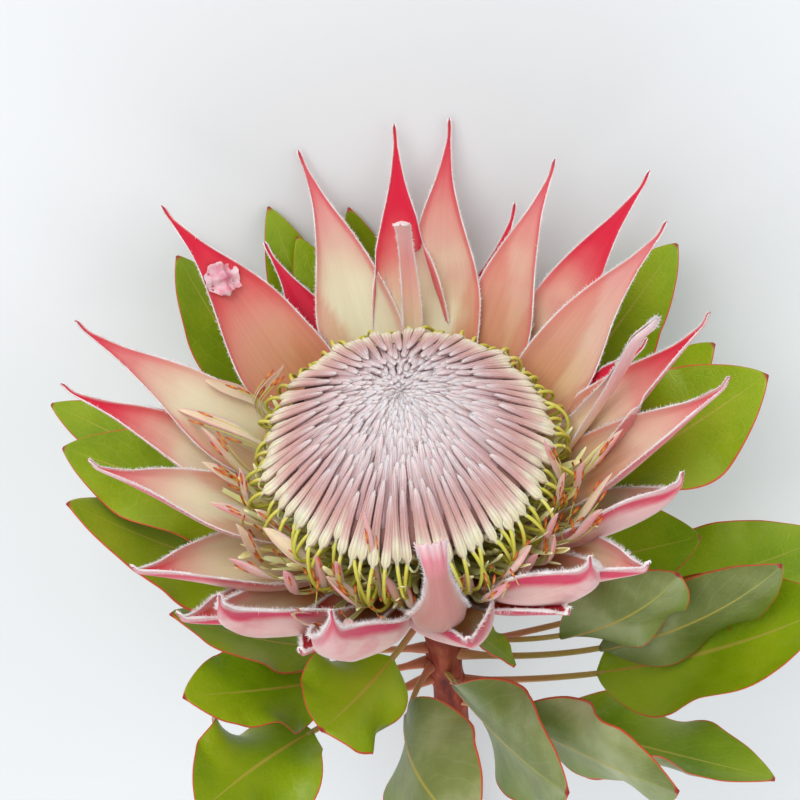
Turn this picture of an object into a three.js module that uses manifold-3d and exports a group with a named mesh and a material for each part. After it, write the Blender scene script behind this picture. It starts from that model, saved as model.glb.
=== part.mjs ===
// King protea: a cut flower head with its bracts, florets, stem and leaves, lying on a surface.
// Millimetres. The flower is built upright, with its axis along +Z, and laid down at the end.

import * as THREE from 'three';
import Module from 'manifold-3d';

const wasm = await Module();
wasm.setup();

// Driving dimensions
const GAP = 0.3;
const TURN = Math.PI * 2;

const STEM = {
  length: 250,
  radius: 5.4,
  collarRadius: 9,
  sides: 12,
  bend: 2.5,
  swell: 0.25,
  cutSlope: 0.35,
  top: 3.7,
  rings: [-225, -200, -170, -140, -110, -80, -50, -25, -8],
};

const RECEPTACLE = {
  bottom: 4,
  top: 12,
  neckRadius: 9.5,
  shoulderRadius: 17.5,
  shoulderHeight: 5.2,
  rimRadius: 21,
  sides: 24,
};

const DOME = {
  ringRadius: 43,
  ringHeight: 50,
  apexHeight: 74,
  curve: 1.25,
  floor: 44.6,
  coreDepth: 1.8,
  coreRadii: [39.5, 26, 12, 2],
  coreSides: 16,
};

const SKIRT = {
  bottom: RECEPTACLE.top + GAP,
  top: DOME.floor - GAP,
  ribs: 18,
  ribDepth: 1.1,
};

const LOOP = { count: 30, radius: 0.8, sides: 3, spread: 0.8, stride: 2.4 };

const RIBBON_RING = { innerRadius: 17.2, outerRadius: 19.2, height: 3, sides: 24 };

const RIBBON = {
  rootRadius: 18.4,
  rootHeight: RECEPTACLE.top + 1.6,
  stations: [0, 0.4, 0.75, 1],
  radii: [1, 1.2, 1.4, 0.6],
  sides: 3,
};

const BRACT = {
  thickness: 0.9,
  rootWidth: 0.22,
  widest: 0.44,
  rootCup: 0.8,
  addedCup: 0.9,
  stepLength: 22,
  widthSteps: 3,
};

const LEAF = {
  thickness: 0.9,
  tipWidth: 1.4,
  lengthSteps: 6,
  widthSteps: 4,
  outlineShift: 0.9,
  outlineFullness: 0.75,
  curlStart: 0.25,
  curlSpan: 0.6,
  waveStart: 0.1,
  waveSpan: 1.3,
  waveLag: 0.35,
};

const PETIOLE = { radius: 1.1, rootShare: 1.2, narrowing: 0.3, stations: [0, 0.5, 1.04], sides: 4 };

// Rows on the receptacle where the bracts grow: radius and height of the root
const BRACT_ROWS = {
  outer: [14.5, 4.6],
  middle: [16, 6.6],
  inner: [17.5, 8.2],
};

// One line a bract: name, row, azimuth, rise at the root and at the tip,
// length, width, sway, twist, cup, taper and width at the tip
const BRACTS = [
  ['B1', 'outer', 169, 30, 48, 112, 25, 0, 0, 28, 1.45, 1],
  ['B2', 'middle', 156, 32, 50, 113, 27, 3, 0, 24, 1.45, 1],
  ['B3', 'middle', 126, 32, 50, 115, 31, 6, 0, 24, 1.45, 1],
  ['B4', 'outer', 112, 30, 40, 91, 24, 3, 0, 28, 1.45, 1],
  ['B5', 'middle', 99, 34, 52, 111, 26, 6, 0, 26, 1.45, 1],
  ['B6', 'outer', 84, 36, 60, 117, 25, 0, 0, 26, 1.45, 1],
  ['B7', 'inner', 72.5, 33, 59, 114, 25, 2, 0, 26, 1.45, 1],
  ['B8', 'outer', 61, 30, 42, 95, 22, 0, 0, 28, 1.45, 1],
  ['B9', 'middle', 56, 34, 50, 109, 24, -4, 0, 26, 1.45, 1],
  ['B10', 'middle', 40, 32, 46, 118, 26, -4, 0, 26, 1.45, 1],
  ['B11', 'inner', 30, 34, 46, 107, 27, -2, 0, 26, 1.45, 1],
  ['B12', 'inner', 6, 28, 80, 98, 13, -3, 0, 50, 0.9, 3],
  ['B13', 'outer', 14, 32, 48, 84, 22, 0, 0, 28, 1.45, 1],
  ['B14', 'middle', 3, 34, 56, 109, 24, 0, 0, 30, 1.45, 1],
  ['B15', 'middle', 349, 30, 56, 110, 26, 0, 0, 28, 1.45, 1],
  ['B16', 'middle', 336, 4, 72, 92, 30, 0, -50, 50, 1.3, 1],
  ['B17', 'middle', 319, 8, 54, 82, 30, 0, -20, 45, 1.3, 1],
  ['B18', 'inner', 307, 0, 86, 88, 33, 0, -40, 55, 1.2, 1],
  ['B18b', 'outer', 304, 5, 53, 67, 22, 0, 0, 40, 1.4, 1],
  ['B19', 'inner', 272.5, 4, 114, 92, 20, 0, 0, 50, 0.8, 10],
  ['B20', 'middle', 278, -2, 68, 66, 36, 0, 0, 62, 1.1, 1],
  ['B21', 'middle', 248, -6, 97, 92, 33, 0, 30, 55, 1.2, 1],
  ['B22', 'inner', 223, -8, 88, 92, 33, 0, 35, 55, 1.2, 1],
  ['B22b', 'outer', 214, 2, 58, 88, 27, 0, 15, 45, 1.4, 1],
  ['B23', 'middle', 200, 10, 48, 87, 30, 0, 15, 40, 1.3, 1],
  ['B24', 'outer', 237, 2, 56, 68, 24, 0, 15, 45, 1.4, 1],
  ['B25', 'middle', 186, 28, 54, 103, 26, 0, 0, 28, 1.45, 1],
  ['N1', 'inner', 82.5, 20, 108, 99, 7, 0, 0, 50, 0.5, 5],
];

// One line a leaf: name, azimuth, height on the stem, petiole and blade length, width,
// rise at the stem and at the tip, sway, roll at the stem and at the tip,
// curl of the left and of the right margin, and the curl's wave: angle, count and phase
const LEAVES = [
  ['leaf_01', 344, -80, 55, 92, 52, 6, 48, 0, 12, 12, 65, 50, 20, 1.2, 0.2],
  ['leaf_02', 5, -62, 52, 84, 38, -4, 18, 0, 10, 10, 20, -10, 50, 1, 0.5],
  ['leaf_03', 358, -24, 34, 54, 38, -2, 14, 0, 10, 10, 20, 30, 40, 1, 0.1],
  ['leaf_04', 336, -52, 46, 58, 32, 4, 66, 4, -60, -100, 50, 40, 50, 1.2, 0.4],
  ['leaf_05', 4, -15, 45, 82, 46, 20, 40, 0, 12, 12, 20, 0, 95, 0.9, 0.5],
  ['leaf_06', 19, -38, 48, 79, 36, 26, 44, 0, 0, 0, 20, 20, 60, 1.2, 0.4],
  ['leaf_07', 34, -15, 50, 79, 36, 24, 38, 0, 0, 0, 20, 20, 45, 1.1, 0.6],
  ['leaf_08', 341, -63, 57, 76, 29, 2, 58, 8, -110, -100, 35, 30, 60, 1.2, 0.57],
  ['leaf_09', 109, -34, 52, 86, 25, 32, 60, 2, 0, 0, 20, 20, 20, 1.2, 0],
  ['leaf_10', 103, -13, 45, 66, 22, 28, 49, 6, 0, 0, 10, 10, 20, 1.2, 0.3],
  ['leaf_11', 132, -26, 50, 83, 32, 24, 52, -8, 0, 0, 20, 20, 25, 1.2, 0.6],
  ['leaf_12', 88, -52, 58, 88, 24, 31, 75, 11, 0, 0, 20, 20, 20, 1.2, 0.1],
  ['leaf_13', 153, -16, 50, 80, 30, 13, 22, 0, 0, 0, 20, 30, 50, 1.1, 0.2],
  ['leaf_14', 164, -13, 45, 74, 38, 18, 27, 0, -10, -10, 10, 10, 45, 1, 0.7],
  ['leaf_15', 176, -37, 42, 84, 40, 18, 46, -4, 6, 6, 10, -20, 35, 1.1, 0.2],
  ['leaf_16', 190, -60, 36, 66, 26, 18, 55, 0, 5, 5, 10, -10, 20, 1.1, 0.5],
  ['leaf_17', 201, -67.5, 42, 55, 35, 20, 36, 0, -5, -5, 10, 10, 60, 1.2, 0.5],
  ['leaf_18', 203, -77, 54, 58, 42, 14, 40, 34, -10, -10, 10, 20, 90, 1.1, 0.1],
  ['leaf_19', 236, -36, 26, 46, 40, 5, 34, 0, -20, -10, -80, 10, 50, 1.2, 0.2],
  ['leaf_20', 231, -67, 30, 54, 46, 12, 51, 60, -50, -130, 20, 20, 40, 1.1, 0.5],
  ['leaf_21', 314, -37, 10, 25, 16, 10, -20, 0, -20, -40, 30, 30, 20, 1.2, 0.2],
  ['leaf_22', 293, -69, 12, 76, 42, 6, 36, 2, -70, -115, 20, 20, 50, 1.1, 0.3],
  ['leaf_23', 312, -76, 32, 80, 36, 8, 34, -4, -60, -105, 30, 30, 50, 1.1, 0.5],
  ['leaf_24', 332, -90, 36, 80, 40, 2, 6, 0, 0, -20, 20, 60, 70, 1.2, 0.1],
];

const COLOURS = {
  bract: { color: 0xd9707c, roughness: 0.7, metalness: 0 },
  floret: { color: 0xd9b9bd, roughness: 0.85, metalness: 0 },
  style: { color: 0xc3c46a, roughness: 0.6, metalness: 0 },
  ribbon: { color: 0xdfb2a4, roughness: 0.75, metalness: 0 },
  stem: { color: 0xa4553f, roughness: 0.7, metalness: 0 },
  leaf: { color: 0x7fa03a, roughness: 0.5, metalness: 0 },
};

function radians(degrees) {
  return degrees * Math.PI / 180;
}

// Solids from closed lists of points and triangles

function solidFrom(points, triangles) {
  const mesh = new wasm.Mesh({
    numProp: 3,
    vertProperties: new Float32Array(points.flatMap((p) => [p.x, p.y, p.z])),
    triVerts: new Uint32Array(triangles.flat()),
  });
  return new wasm.Manifold(mesh);
}

function fuse(solids) {
  const joined = solids.reduce((sum, solid) => sum.add(solid));
  return largestBody(joined);
}

function largestBody(solid) {
  const bodies = solid.decompose();
  bodies.sort((a, b) => b.volume() - a.volume());
  return bodies[0];
}

function meshOf(name, solid, colour) {
  const { vertProperties, triVerts } = solid.getMesh();
  const geometry = new THREE.BufferGeometry();
  geometry.setAttribute('position', new THREE.BufferAttribute(new Float32Array(vertProperties), 3));
  geometry.setIndex(new THREE.BufferAttribute(new Uint32Array(triVerts), 1));
  geometry.computeVertexNormals();
  const mesh = new THREE.Mesh(geometry, new THREE.MeshStandardMaterial(colour));
  mesh.name = name;
  return mesh;
}

// A stack of rings with the same number of points, closed at both ends by fans
function loft(rings) {
  const count = rings[0].length;
  const points = rings.flat();
  const triangles = [];
  for (let level = 0; level < rings.length - 1; level += 1) {
    for (let i = 0; i < count; i += 1) {
      const a = level * count + i;
      const b = level * count + (i + 1) % count;
      triangles.push([a, b, b + count], [a, b + count, a + count]);
    }
  }
  const last = (rings.length - 1) * count;
  for (let i = 1; i < count - 1; i += 1) {
    triangles.push([0, i + 1, i], [last, last + i, last + i + 1]);
  }
  return solidFrom(points, triangles);
}

function ring(radius, height, sides, centre = [0, 0]) {
  const points = [];
  for (let i = 0; i < sides; i += 1) {
    const angle = TURN * i / sides;
    points.push(new THREE.Vector3(
      centre[0] + radius * Math.cos(angle), centre[1] + radius * Math.sin(angle), height));
  }
  return points;
}

// A tapering rod along a list of points
function rod(path, radii, sides) {
  const rings = path.map((point, i) => {
    const before = path[Math.max(i - 1, 0)];
    const after = path[Math.min(i + 1, path.length - 1)];
    const along = after.clone().sub(before).normalize();
    const side = new THREE.Vector3(-point.y, point.x, 0).normalize();
    side.addScaledVector(along, -side.dot(along)).normalize();
    const over = along.clone().cross(side);
    return Array.from({ length: sides }, (_, k) => {
      const angle = TURN * k / sides;
      return point.clone()
        .addScaledVector(side, radii[i] * Math.cos(angle))
        .addScaledVector(over, radii[i] * Math.sin(angle));
    });
  });
  return loft(rings);
}

// A midrib rises evenly from its first slope to its last. At the share s of its length this gives
// the point and three directions: along, across (to the left) and normal (the inner or upper face).
function midrib(rib, s) {
  const from = radians(rib.rise0);
  const bend = radians(rib.rise1 - rib.rise0);
  const slope = from + bend * s;
  const straight = Math.abs(bend) < 1e-4;
  const out = straight ? s * Math.cos(from) : (Math.sin(slope) - Math.sin(from)) / bend;
  const rise = straight ? s * Math.sin(from) : (Math.cos(from) - Math.cos(slope)) / bend;
  const azimuth = radians(rib.azimuth);
  const outward = new THREE.Vector3(Math.cos(azimuth), Math.sin(azimuth), 0);
  const sideways = new THREE.Vector3(-Math.sin(azimuth), Math.cos(azimuth), 0);
  const point = new THREE.Vector3(0, 0, rib.height + rib.length * rise)
    .addScaledVector(outward, rib.radius + rib.length * out)
    .addScaledVector(sideways, rib.sway * s * s);
  const along = new THREE.Vector3(0, 0, Math.sin(slope))
    .addScaledVector(outward, Math.cos(slope))
    .addScaledVector(sideways, 2 * rib.sway * s / rib.length)
    .normalize();
  const across = sideways.clone().addScaledVector(along, -sideways.dot(along)).normalize();
  const roll = radians(rib.roll0 + (rib.roll1 - rib.roll0) * s);
  across.applyAxisAngle(along, roll);
  const normal = along.clone().cross(across);
  return { point, along, across, normal };
}

function awayFromZero(angle) {
  return Math.abs(angle) < 1e-3 ? 1e-3 : angle;
}

// A thin blade along a midrib: its width and the curl of its section follow the share of its length
function blade(rib, shape) {
  const { first, lengthSteps, widthSteps, thickness } = shape;
  const rows = widthSteps + 1;
  const faces = [0.5, -0.5].map((side) => {
    const points = [];
    for (let i = 0; i <= lengthSteps; i += 1) {
      const s = first + (1 - first) * i / lengthSteps;
      const share = i / lengthSteps;
      const at = midrib(rib, s);
      const half = shape.width(share) / 2;
      for (let j = 0; j < rows; j += 1) {
        const v = j / widthSteps * 2 - 1;
        const curl = awayFromZero(radians(shape.curl(share, v)));
        const across = half * Math.sin(curl * v) / curl;
        const inward = half * (1 - Math.cos(curl * v)) / curl;
        points.push(at.point.clone()
          .addScaledVector(at.across, across)
          .addScaledVector(at.normal, inward + side * thickness));
      }
    }
    return points;
  });
  const back = faces[0].length;
  const triangles = [];
  const quad = (a, b, c, d) => triangles.push([a, b, c], [a, c, d]);
  for (let i = 0; i < lengthSteps; i += 1) {
    for (let j = 0; j < widthSteps; j += 1) {
      const a = i * rows + j;
      quad(a, a + rows, a + rows + 1, a + 1);
      triangles.push([back + a, back + a + rows + 1, back + a + rows]);
      triangles.push([back + a, back + a + 1, back + a + rows + 1]);
    }
    const low = i * rows;
    const high = low + widthSteps;
    quad(low, back + low, back + low + rows, low + rows);
    quad(high, high + rows, back + high + rows, back + high);
  }
  const end = lengthSteps * rows;
  for (let j = 0; j < widthSteps; j += 1) {
    quad(j, j + 1, back + j + 1, back + j);
    quad(end + j, back + end + j, back + end + j + 1, end + j + 1);
  }
  return solidFrom(faces.flat(), triangles);
}

// Bracts

function bractWidth(width, taper, tip, share) {
  const swell = BRACT.rootWidth + (1 - BRACT.rootWidth) * Math.sin(Math.PI / 2 * share / BRACT.widest);
  const left = Math.min(1, (1 - share) / (1 - BRACT.widest));
  const narrowing = Math.sin(Math.PI / 2 * left ** taper);
  return Math.max(tip, width * (share < BRACT.widest ? swell : narrowing));
}

function bractRib([, row, azimuth, rise0, rise1, length, , sway, twist]) {
  const [radius, height] = BRACT_ROWS[row];
  return { azimuth, rise0, rise1, length, radius, height, sway, roll0: 0, roll1: twist };
}

function bractSolid(line) {
  const [length, width, , , cup, taper, tip] = line.slice(5);
  return blade(bractRib(line), {
    ...BRACT,
    first: 0,
    lengthSteps: Math.round(length / BRACT.stepLength),
    width: (share) => bractWidth(width, taper, tip, share),
    curl: (share) => cup * (BRACT.rootCup + BRACT.addedCup * share * share),
  });
}

function receptacle() {
  const profile = [
    [RECEPTACLE.neckRadius, RECEPTACLE.bottom],
    [RECEPTACLE.shoulderRadius, RECEPTACLE.shoulderHeight],
    [RECEPTACLE.rimRadius, RECEPTACLE.top],
  ];
  return loft(profile.map(([radius, height]) => ring(radius, height, RECEPTACLE.sides)));
}

// Closed florets

function domeHeight(radius) {
  const drop = DOME.apexHeight - DOME.ringHeight;
  return DOME.apexHeight - drop * Math.min(1, radius / DOME.ringRadius) ** DOME.curve;
}

function domePoint(radius, azimuth, lift) {
  return new THREE.Vector3(
    radius * Math.cos(azimuth), radius * Math.sin(azimuth), domeHeight(radius) + lift);
}

// Rings of limbs, from the rim to the apex: outer radius, length, width, count
const FLORET_RINGS = [
  [43.5, 20, 5, 34],
  [34, 16, 4.8, 26],
  [26, 14, 4.4, 20],
  [18, 11, 4, 14],
  [11, 8, 3.4, 8],
  [5, 5, 2.6, 5],
];

// Along a limb: shares of its length and width, and the lift of its edges and of its ridge
const LIMB_STATIONS = [
  [0, 0.7, -2.6, -0.2],
  [0.3, 1, -2.4, 1.2],
  [1, 0.5, -2, 0.3],
];

function limb(outer, length, width, azimuth) {
  const across = new THREE.Vector3(-Math.sin(azimuth), Math.cos(azimuth), 0);
  const rings = LIMB_STATIONS.map(([share, wide, low, high]) => {
    const radius = outer - length * share;
    const half = width * wide / 2;
    return [
      domePoint(radius, azimuth, low).addScaledVector(across, -half),
      domePoint(radius, azimuth, high),
      domePoint(radius, azimuth, low).addScaledVector(across, half),
    ];
  });
  return loft(rings);
}

function domeCore() {
  const levels = DOME.coreRadii.map((radius) =>
    ring(radius, domeHeight(radius) - DOME.coreDepth, DOME.coreSides));
  return loft([ring(DOME.coreRadii[0], DOME.floor, DOME.coreSides), ...levels]);
}

function closedFlorets() {
  const limbs = FLORET_RINGS.flatMap(([outer, length, width, count], level) =>
    Array.from({ length: count }, (_, i) => {
      const azimuth = TURN * (i + 0.5 * (level % 2)) / count;
      return limb(outer, length, width, azimuth);
    }));
  return fuse([domeCore(), ...limbs]);
}

// Floret tubes and styles

// Radius of the cone of floret tubes at some heights
const SKIRT_PROFILE = [
  [SKIRT.bottom, 16.2],
  [16.5, 16.8],
  [30, 28.5],
  [SKIRT.top, 37.5],
];

function floretTubes() {
  const columns = SKIRT.ribs * 2;
  const rings = SKIRT_PROFILE.map(([height, radius]) =>
    Array.from({ length: columns }, (_, i) => {
      const azimuth = TURN * i / columns;
      const ribbed = radius - (i % 2) * SKIRT.ribDepth;
      return new THREE.Vector3(ribbed * Math.cos(azimuth), ribbed * Math.sin(azimuth), height);
    }));
  return loft(rings);
}

// A style leaves its floret under the limb, bows out and hooks back in
const LOOP_PATH = [[35.5, 42.8], [45, 43], [48.6, 39.4], [45, 35.9], [29, 35.4]];

function styleLoop(azimuth, reach) {
  const path = LOOP_PATH.map(([radius, height], i) => {
    const far = i > 0 && i < LOOP_PATH.length - 1 ? reach : 0;
    return new THREE.Vector3(
      (radius + far) * Math.cos(azimuth), (radius + far) * Math.sin(azimuth), height);
  });
  return rod(path, path.map(() => LOOP.radius), LOOP.sides);
}

function styles() {
  const loops = Array.from({ length: LOOP.count }, (_, i) =>
    styleLoop(TURN * i / LOOP.count, LOOP.spread * Math.sin(i * LOOP.stride)));
  return fuse([floretTubes(), ...loops]);
}

// Open florets: ribbons that spread from under the dome

function ribbonRing() {
  const { innerRadius, outerRadius, height, sides } = RIBBON_RING;
  const bottom = RECEPTACLE.top + GAP;
  const top = bottom + height;
  const outside = loft([ring(outerRadius, bottom, sides), ring(outerRadius, top, sides)]);
  const inside = loft([ring(innerRadius, bottom - 1, sides), ring(innerRadius, top + 1, sides)]);
  return outside.subtract(inside);
}

// Slot between two styles, rise at the root and at the tip, length
const RIBBONS = [
  [14, 28, 62, 46], [15, 28, 70, 50], [16, 28, 66, 48], [17, 28, 72, 46], [18, 28, 60, 52],
  [19, 28, 66, 50], [20, 28, 74, 46], [21, 28, 60, 50], [23, 28, 68, 46], [24, 28, 72, 50],
  [25, 28, 60, 52], [26, 28, 66, 50], [27, 28, 74, 48], [28, 28, 62, 50], [29, 28, 70, 46],
  [0, 28, 64, 46], [12, 28, 62, 44], [13, 28, 68, 44],
];

function ribbonSolid([slot, rise0, rise1, length]) {
  const azimuth = 360 * (slot + 0.5) / LOOP.count;
  const { rootRadius: radius, rootHeight: height, stations, radii, sides } = RIBBON;
  const rib = { azimuth, rise0, rise1, length, radius, height, sway: 0, roll0: 0, roll1: 0 };
  return rod(stations.map((s) => midrib(rib, s).point), radii, sides);
}

function openFlorets() {
  return fuse([ribbonRing(), ...RIBBONS.map(ribbonSolid)]);
}

// Stem

function stemCentre(height) {
  const share = Math.max(0, -height) / STEM.length;
  return [STEM.bend * Math.sin(Math.PI * share * 1.5), 0];
}

function stemSolid(grow = 0) {
  const heights = [-STEM.length, ...STEM.rings, STEM.top];
  const rings = heights.map((height, i) => {
    const radius = height === STEM.top ? STEM.collarRadius : STEM.radius;
    const swell = i % 2 === 0 ? STEM.swell : 0;
    return ring(radius + swell + grow, height, STEM.sides, stemCentre(height));
  });
  rings[0].forEach((point) => {
    point.z += STEM.cutSlope * point.x;
  });
  return loft(rings);
}

// Leaves

function leafWidth(width, share) {
  const outline = Math.sin(Math.PI * share ** LEAF.outlineShift) ** LEAF.outlineFullness;
  const petiole = 2 * PETIOLE.radius * (1 - share);
  return Math.max(LEAF.tipWidth, petiole, width * outline);
}

function leafCurl(line, share, v) {
  const [left, right, angle, waves, phase] = line.slice(11);
  const side = v > 0 ? left : right;
  const lag = v > 0 ? 0 : LEAF.waveLag;
  const fold = Math.sin(Math.PI * (LEAF.curlStart + LEAF.curlSpan * share));
  const swell = Math.sin(Math.PI * Math.min(1, LEAF.waveStart + LEAF.waveSpan * share));
  const wave = Math.sin(TURN * (waves * share + phase + lag));
  return side * fold + angle * swell * wave;
}

function leafRib([, azimuth, height, petiole, bladeLength, , rise0, rise1, sway, roll0, roll1]) {
  const length = petiole + bladeLength;
  return { azimuth, rise0, rise1, length, radius: 0, height, sway, roll0, roll1 };
}

function petioleRod(rib, reach) {
  const path = PETIOLE.stations.map((share) => midrib(rib, reach * share).point);
  const radii = PETIOLE.stations.map((share) =>
    PETIOLE.radius * (PETIOLE.rootShare - PETIOLE.narrowing * share));
  return rod(path, radii, PETIOLE.sides);
}

function leafSolid(line) {
  const [petiole, bladeLength, width] = line.slice(3);
  const rib = leafRib(line);
  const first = petiole / (petiole + bladeLength);
  const leaf = blade(rib, {
    ...LEAF,
    first,
    width: (share) => leafWidth(width, share),
    curl: (share, v) => leafCurl(line, share, v),
  });
  return leaf.add(petioleRod(rib, first));
}

// Laying down: the flower rests on two bract tips and on the rim of the stem's cut end

const SUPPORT_BRACTS = ['B5', 'B7'];

function tipOf(name) {
  const line = BRACTS.find((bract) => bract[0] === name);
  return midrib(bractRib(line), 1).point;
}

function layingDown() {
  const [left, right] = SUPPORT_BRACTS.map(tipOf);
  const [cutX, cutY] = stemCentre(-STEM.length);
  const cutEnd = new THREE.Vector3(cutX, cutY + STEM.radius, -STEM.length);
  const up = left.clone().sub(cutEnd).cross(right.clone().sub(cutEnd)).normalize();
  if (up.y > 0) up.negate();
  const ahead = new THREE.Vector3(0, 0, 1).addScaledVector(up, -up.z).normalize();
  const back = ahead.clone().negate();
  const side = back.clone().cross(up);
  return new THREE.Matrix4().makeBasis(side, back, up).transpose();
}

const bractsMesh = meshOf('bracts', fuse([receptacle(), ...BRACTS.map(bractSolid)]), COLOURS.bract);
const floretsMesh = meshOf('closed_florets', closedFlorets(), COLOURS.floret);
const stylesMesh = meshOf('styles', styles(), COLOURS.style);
const ribbonsMesh = meshOf('open_florets', openFlorets(), COLOURS.ribbon);
const stemMesh = meshOf('stem', stemSolid(), COLOURS.stem);
const stemRoom = stemSolid(GAP);
const leafMeshes = LEAVES.map((line) =>
  meshOf(line[0], largestBody(leafSolid(line).subtract(stemRoom)), COLOURS.leaf));

const group = new THREE.Group();
group.name = 'king_protea';
group.add(bractsMesh, floretsMesh, stylesMesh, ribbonsMesh, stemMesh, ...leafMeshes);
group.quaternion.setFromRotationMatrix(layingDown());
group.updateMatrixWorld(true);
const extent = new THREE.Box3().setFromObject(group, true);
group.position.set(
  -(extent.min.x + extent.max.x) / 2, -(extent.min.y + extent.max.y) / 2, -extent.min.z);
group.updateMatrixWorld(true);

export default group;
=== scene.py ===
# King protea flower, cut and lying down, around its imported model.
# The flower's own sizes are in millimetres, upright along +Z from the top of the stem; one turn
# and one shift lay it down, and the scene is in metres.

import math
from collections import namedtuple

import bpy
import numpy as np
from mathutils import Matrix, Vector


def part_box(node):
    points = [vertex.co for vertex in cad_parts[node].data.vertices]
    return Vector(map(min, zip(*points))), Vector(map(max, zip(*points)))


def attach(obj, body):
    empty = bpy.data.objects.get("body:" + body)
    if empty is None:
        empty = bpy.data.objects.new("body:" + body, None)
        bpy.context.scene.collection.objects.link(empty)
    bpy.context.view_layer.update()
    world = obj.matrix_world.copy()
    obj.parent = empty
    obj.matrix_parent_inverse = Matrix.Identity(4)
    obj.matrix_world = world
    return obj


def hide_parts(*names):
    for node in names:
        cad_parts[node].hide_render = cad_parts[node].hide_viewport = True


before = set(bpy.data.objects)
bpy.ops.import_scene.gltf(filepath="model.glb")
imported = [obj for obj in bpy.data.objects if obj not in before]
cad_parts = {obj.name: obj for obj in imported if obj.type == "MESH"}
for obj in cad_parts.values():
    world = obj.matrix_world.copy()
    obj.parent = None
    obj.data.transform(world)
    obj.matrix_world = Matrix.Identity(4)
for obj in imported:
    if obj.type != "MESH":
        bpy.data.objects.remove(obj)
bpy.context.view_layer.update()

rng = np.random.default_rng(11)

MM = 0.001
TURN = 2 * math.pi
UP = np.array([0, 0, 1.0])

# Below this a blade's curl counts as none
STRAIGHT = 1e-3

STEM_LENGTH = 250
STEM_RADIUS = 5.4
STEM_BEND = 2.5
STEM_TOP = 3.7
COLLAR_RADIUS = 9
CUT_SLOPE = 0.35
CAD_STEM_SIDES = 12
CAD_STEM_SWELL = 0.25

RECEPTACLE = [(9.5, 4), (14, 4.4), (17.5, 5.2), (19.6, 8.2), (21, 12), (17, 12.4)]

DOME_RADIUS = 43
DOME_RIM = 50
DOME_APEX = 72.5
DOME_CURVE = 1.25

BRACT_ROWS = {"outer": (14.5, 4.6), "middle": (16, 6.6), "inner": (17.5, 8.2)}
BRACT_WIDEST = 0.44
BRACT_ROOT = 0.22

PETIOLE_RADIUS = 1.1

# Kinds of bract tips, each by its width
POINTED = 1
ROLLED = 3
NARROW = 5
BROAD = 10

Bract = namedtuple("Bract", "name row azimuth rise0 rise1 length width sway twist cup taper tip "
                            "flush roll")
Leaf = namedtuple("Leaf", "name azimuth height petiole blade width rise0 rise1 sway roll0 roll1 "
                          "left right angle waves phase")

# Name, row, azimuth, rise at the root and at the tip, length, width, sway, twist, cup, taper,
# the tip's kind and width, the crimson share of the length, and how far the margins roll in
BRACTS = [Bract(*line) for line in (
    ("B1", "outer", 169, 30, 48, 112, 25, 0, 0, 28, 1.45, 1, 0.40, 1.0),
    ("B2", "middle", 156, 32, 50, 113, 27, 3, 0, 24, 1.45, 1, 0.22, 0.6),
    ("B3", "middle", 126, 32, 50, 115, 31, 6, 0, 24, 1.45, 1, 0.44, 1.0),
    ("B4", "outer", 112, 30, 40, 91, 24, 3, 0, 28, 1.45, 1, 0.95, 0.6),
    ("B5", "middle", 99, 34, 52, 111, 26, 6, 0, 26, 1.45, 1, 0.06, 0.6),
    ("B6", "outer", 84, 36, 60, 117, 25, 0, 0, 26, 1.45, 1, 0.60, 0.6),
    ("B7", "inner", 72.5, 33, 59, 114, 25, 2, 0, 26, 1.45, 1, 0.24, 0.6),
    ("B8", "outer", 61, 30, 42, 95, 22, 0, 0, 28, 1.45, 1, 0.95, 0.6),
    ("B9", "middle", 56, 34, 50, 109, 24, -4, 0, 26, 1.45, 1, 0.0, 0.6),
    ("B10", "middle", 40, 32, 46, 118, 26, -4, 0, 26, 1.45, 1, 0.56, 0.8),
    ("B11", "inner", 30, 34, 46, 107, 27, -2, 0, 26, 1.45, 1, 0.02, 0.8),
    ("B12", "inner", 6, 28, 80, 98, 13, -3, 0, 50, 0.9, 3, 0.08, 1.2),
    ("B13", "outer", 14, 32, 48, 84, 22, 0, 0, 28, 1.45, 1, 0.90, 0.8),
    ("B14", "middle", 3, 34, 56, 109, 24, 0, 0, 30, 1.45, 1, 0.45, 1.2),
    ("B15", "middle", 349, 30, 56, 110, 26, 0, 0, 28, 1.45, 1, 0.14, 1.8),
    ("B16", "middle", 336, 4, 72, 92, 30, 0, -50, 50, 1.3, 1, 0.16, 2.2),
    ("B17", "middle", 319, 8, 54, 82, 30, 0, -20, 45, 1.3, 1, 0.16, 2.4),
    ("B18", "inner", 307, 0, 86, 88, 33, 0, -40, 55, 1.2, 1, 0.16, 2.4),
    ("B18b", "outer", 304, 5, 53, 67, 22, 0, 0, 40, 1.4, 1, 0.85, 1.2),
    ("B19", "inner", 272.5, 4, 114, 92, 20, 0, 0, 50, 0.8, 10, 0.08, 1.6),
    ("B20", "middle", 278, -2, 68, 66, 36, 0, 0, 62, 1.1, 1, 0.16, 2.4),
    ("B21", "middle", 248, -6, 97, 92, 33, 0, 30, 55, 1.2, 1, 0.16, 2.4),
    ("B22", "inner", 223, -8, 88, 92, 33, 0, 35, 55, 1.2, 1, 0.18, 2.4),
    ("B22b", "outer", 214, 2, 58, 88, 27, 0, 15, 45, 1.4, 1, 0.35, 2.0),
    ("B23", "middle", 200, 10, 48, 87, 30, 0, 15, 40, 1.3, 1, 0.26, 2.2),
    ("B24", "outer", 237, 2, 56, 68, 24, 0, 15, 45, 1.4, 1, 0.85, 1.2),
    ("B25", "middle", 186, 28, 54, 103, 26, 0, 0, 28, 1.45, 1, 0.14, 1.8),
    ("N1", "inner", 82.5, 20, 108, 99, 7, 0, 0, 50, 0.5, 5, 0.04, 0.6),
)]

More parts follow.
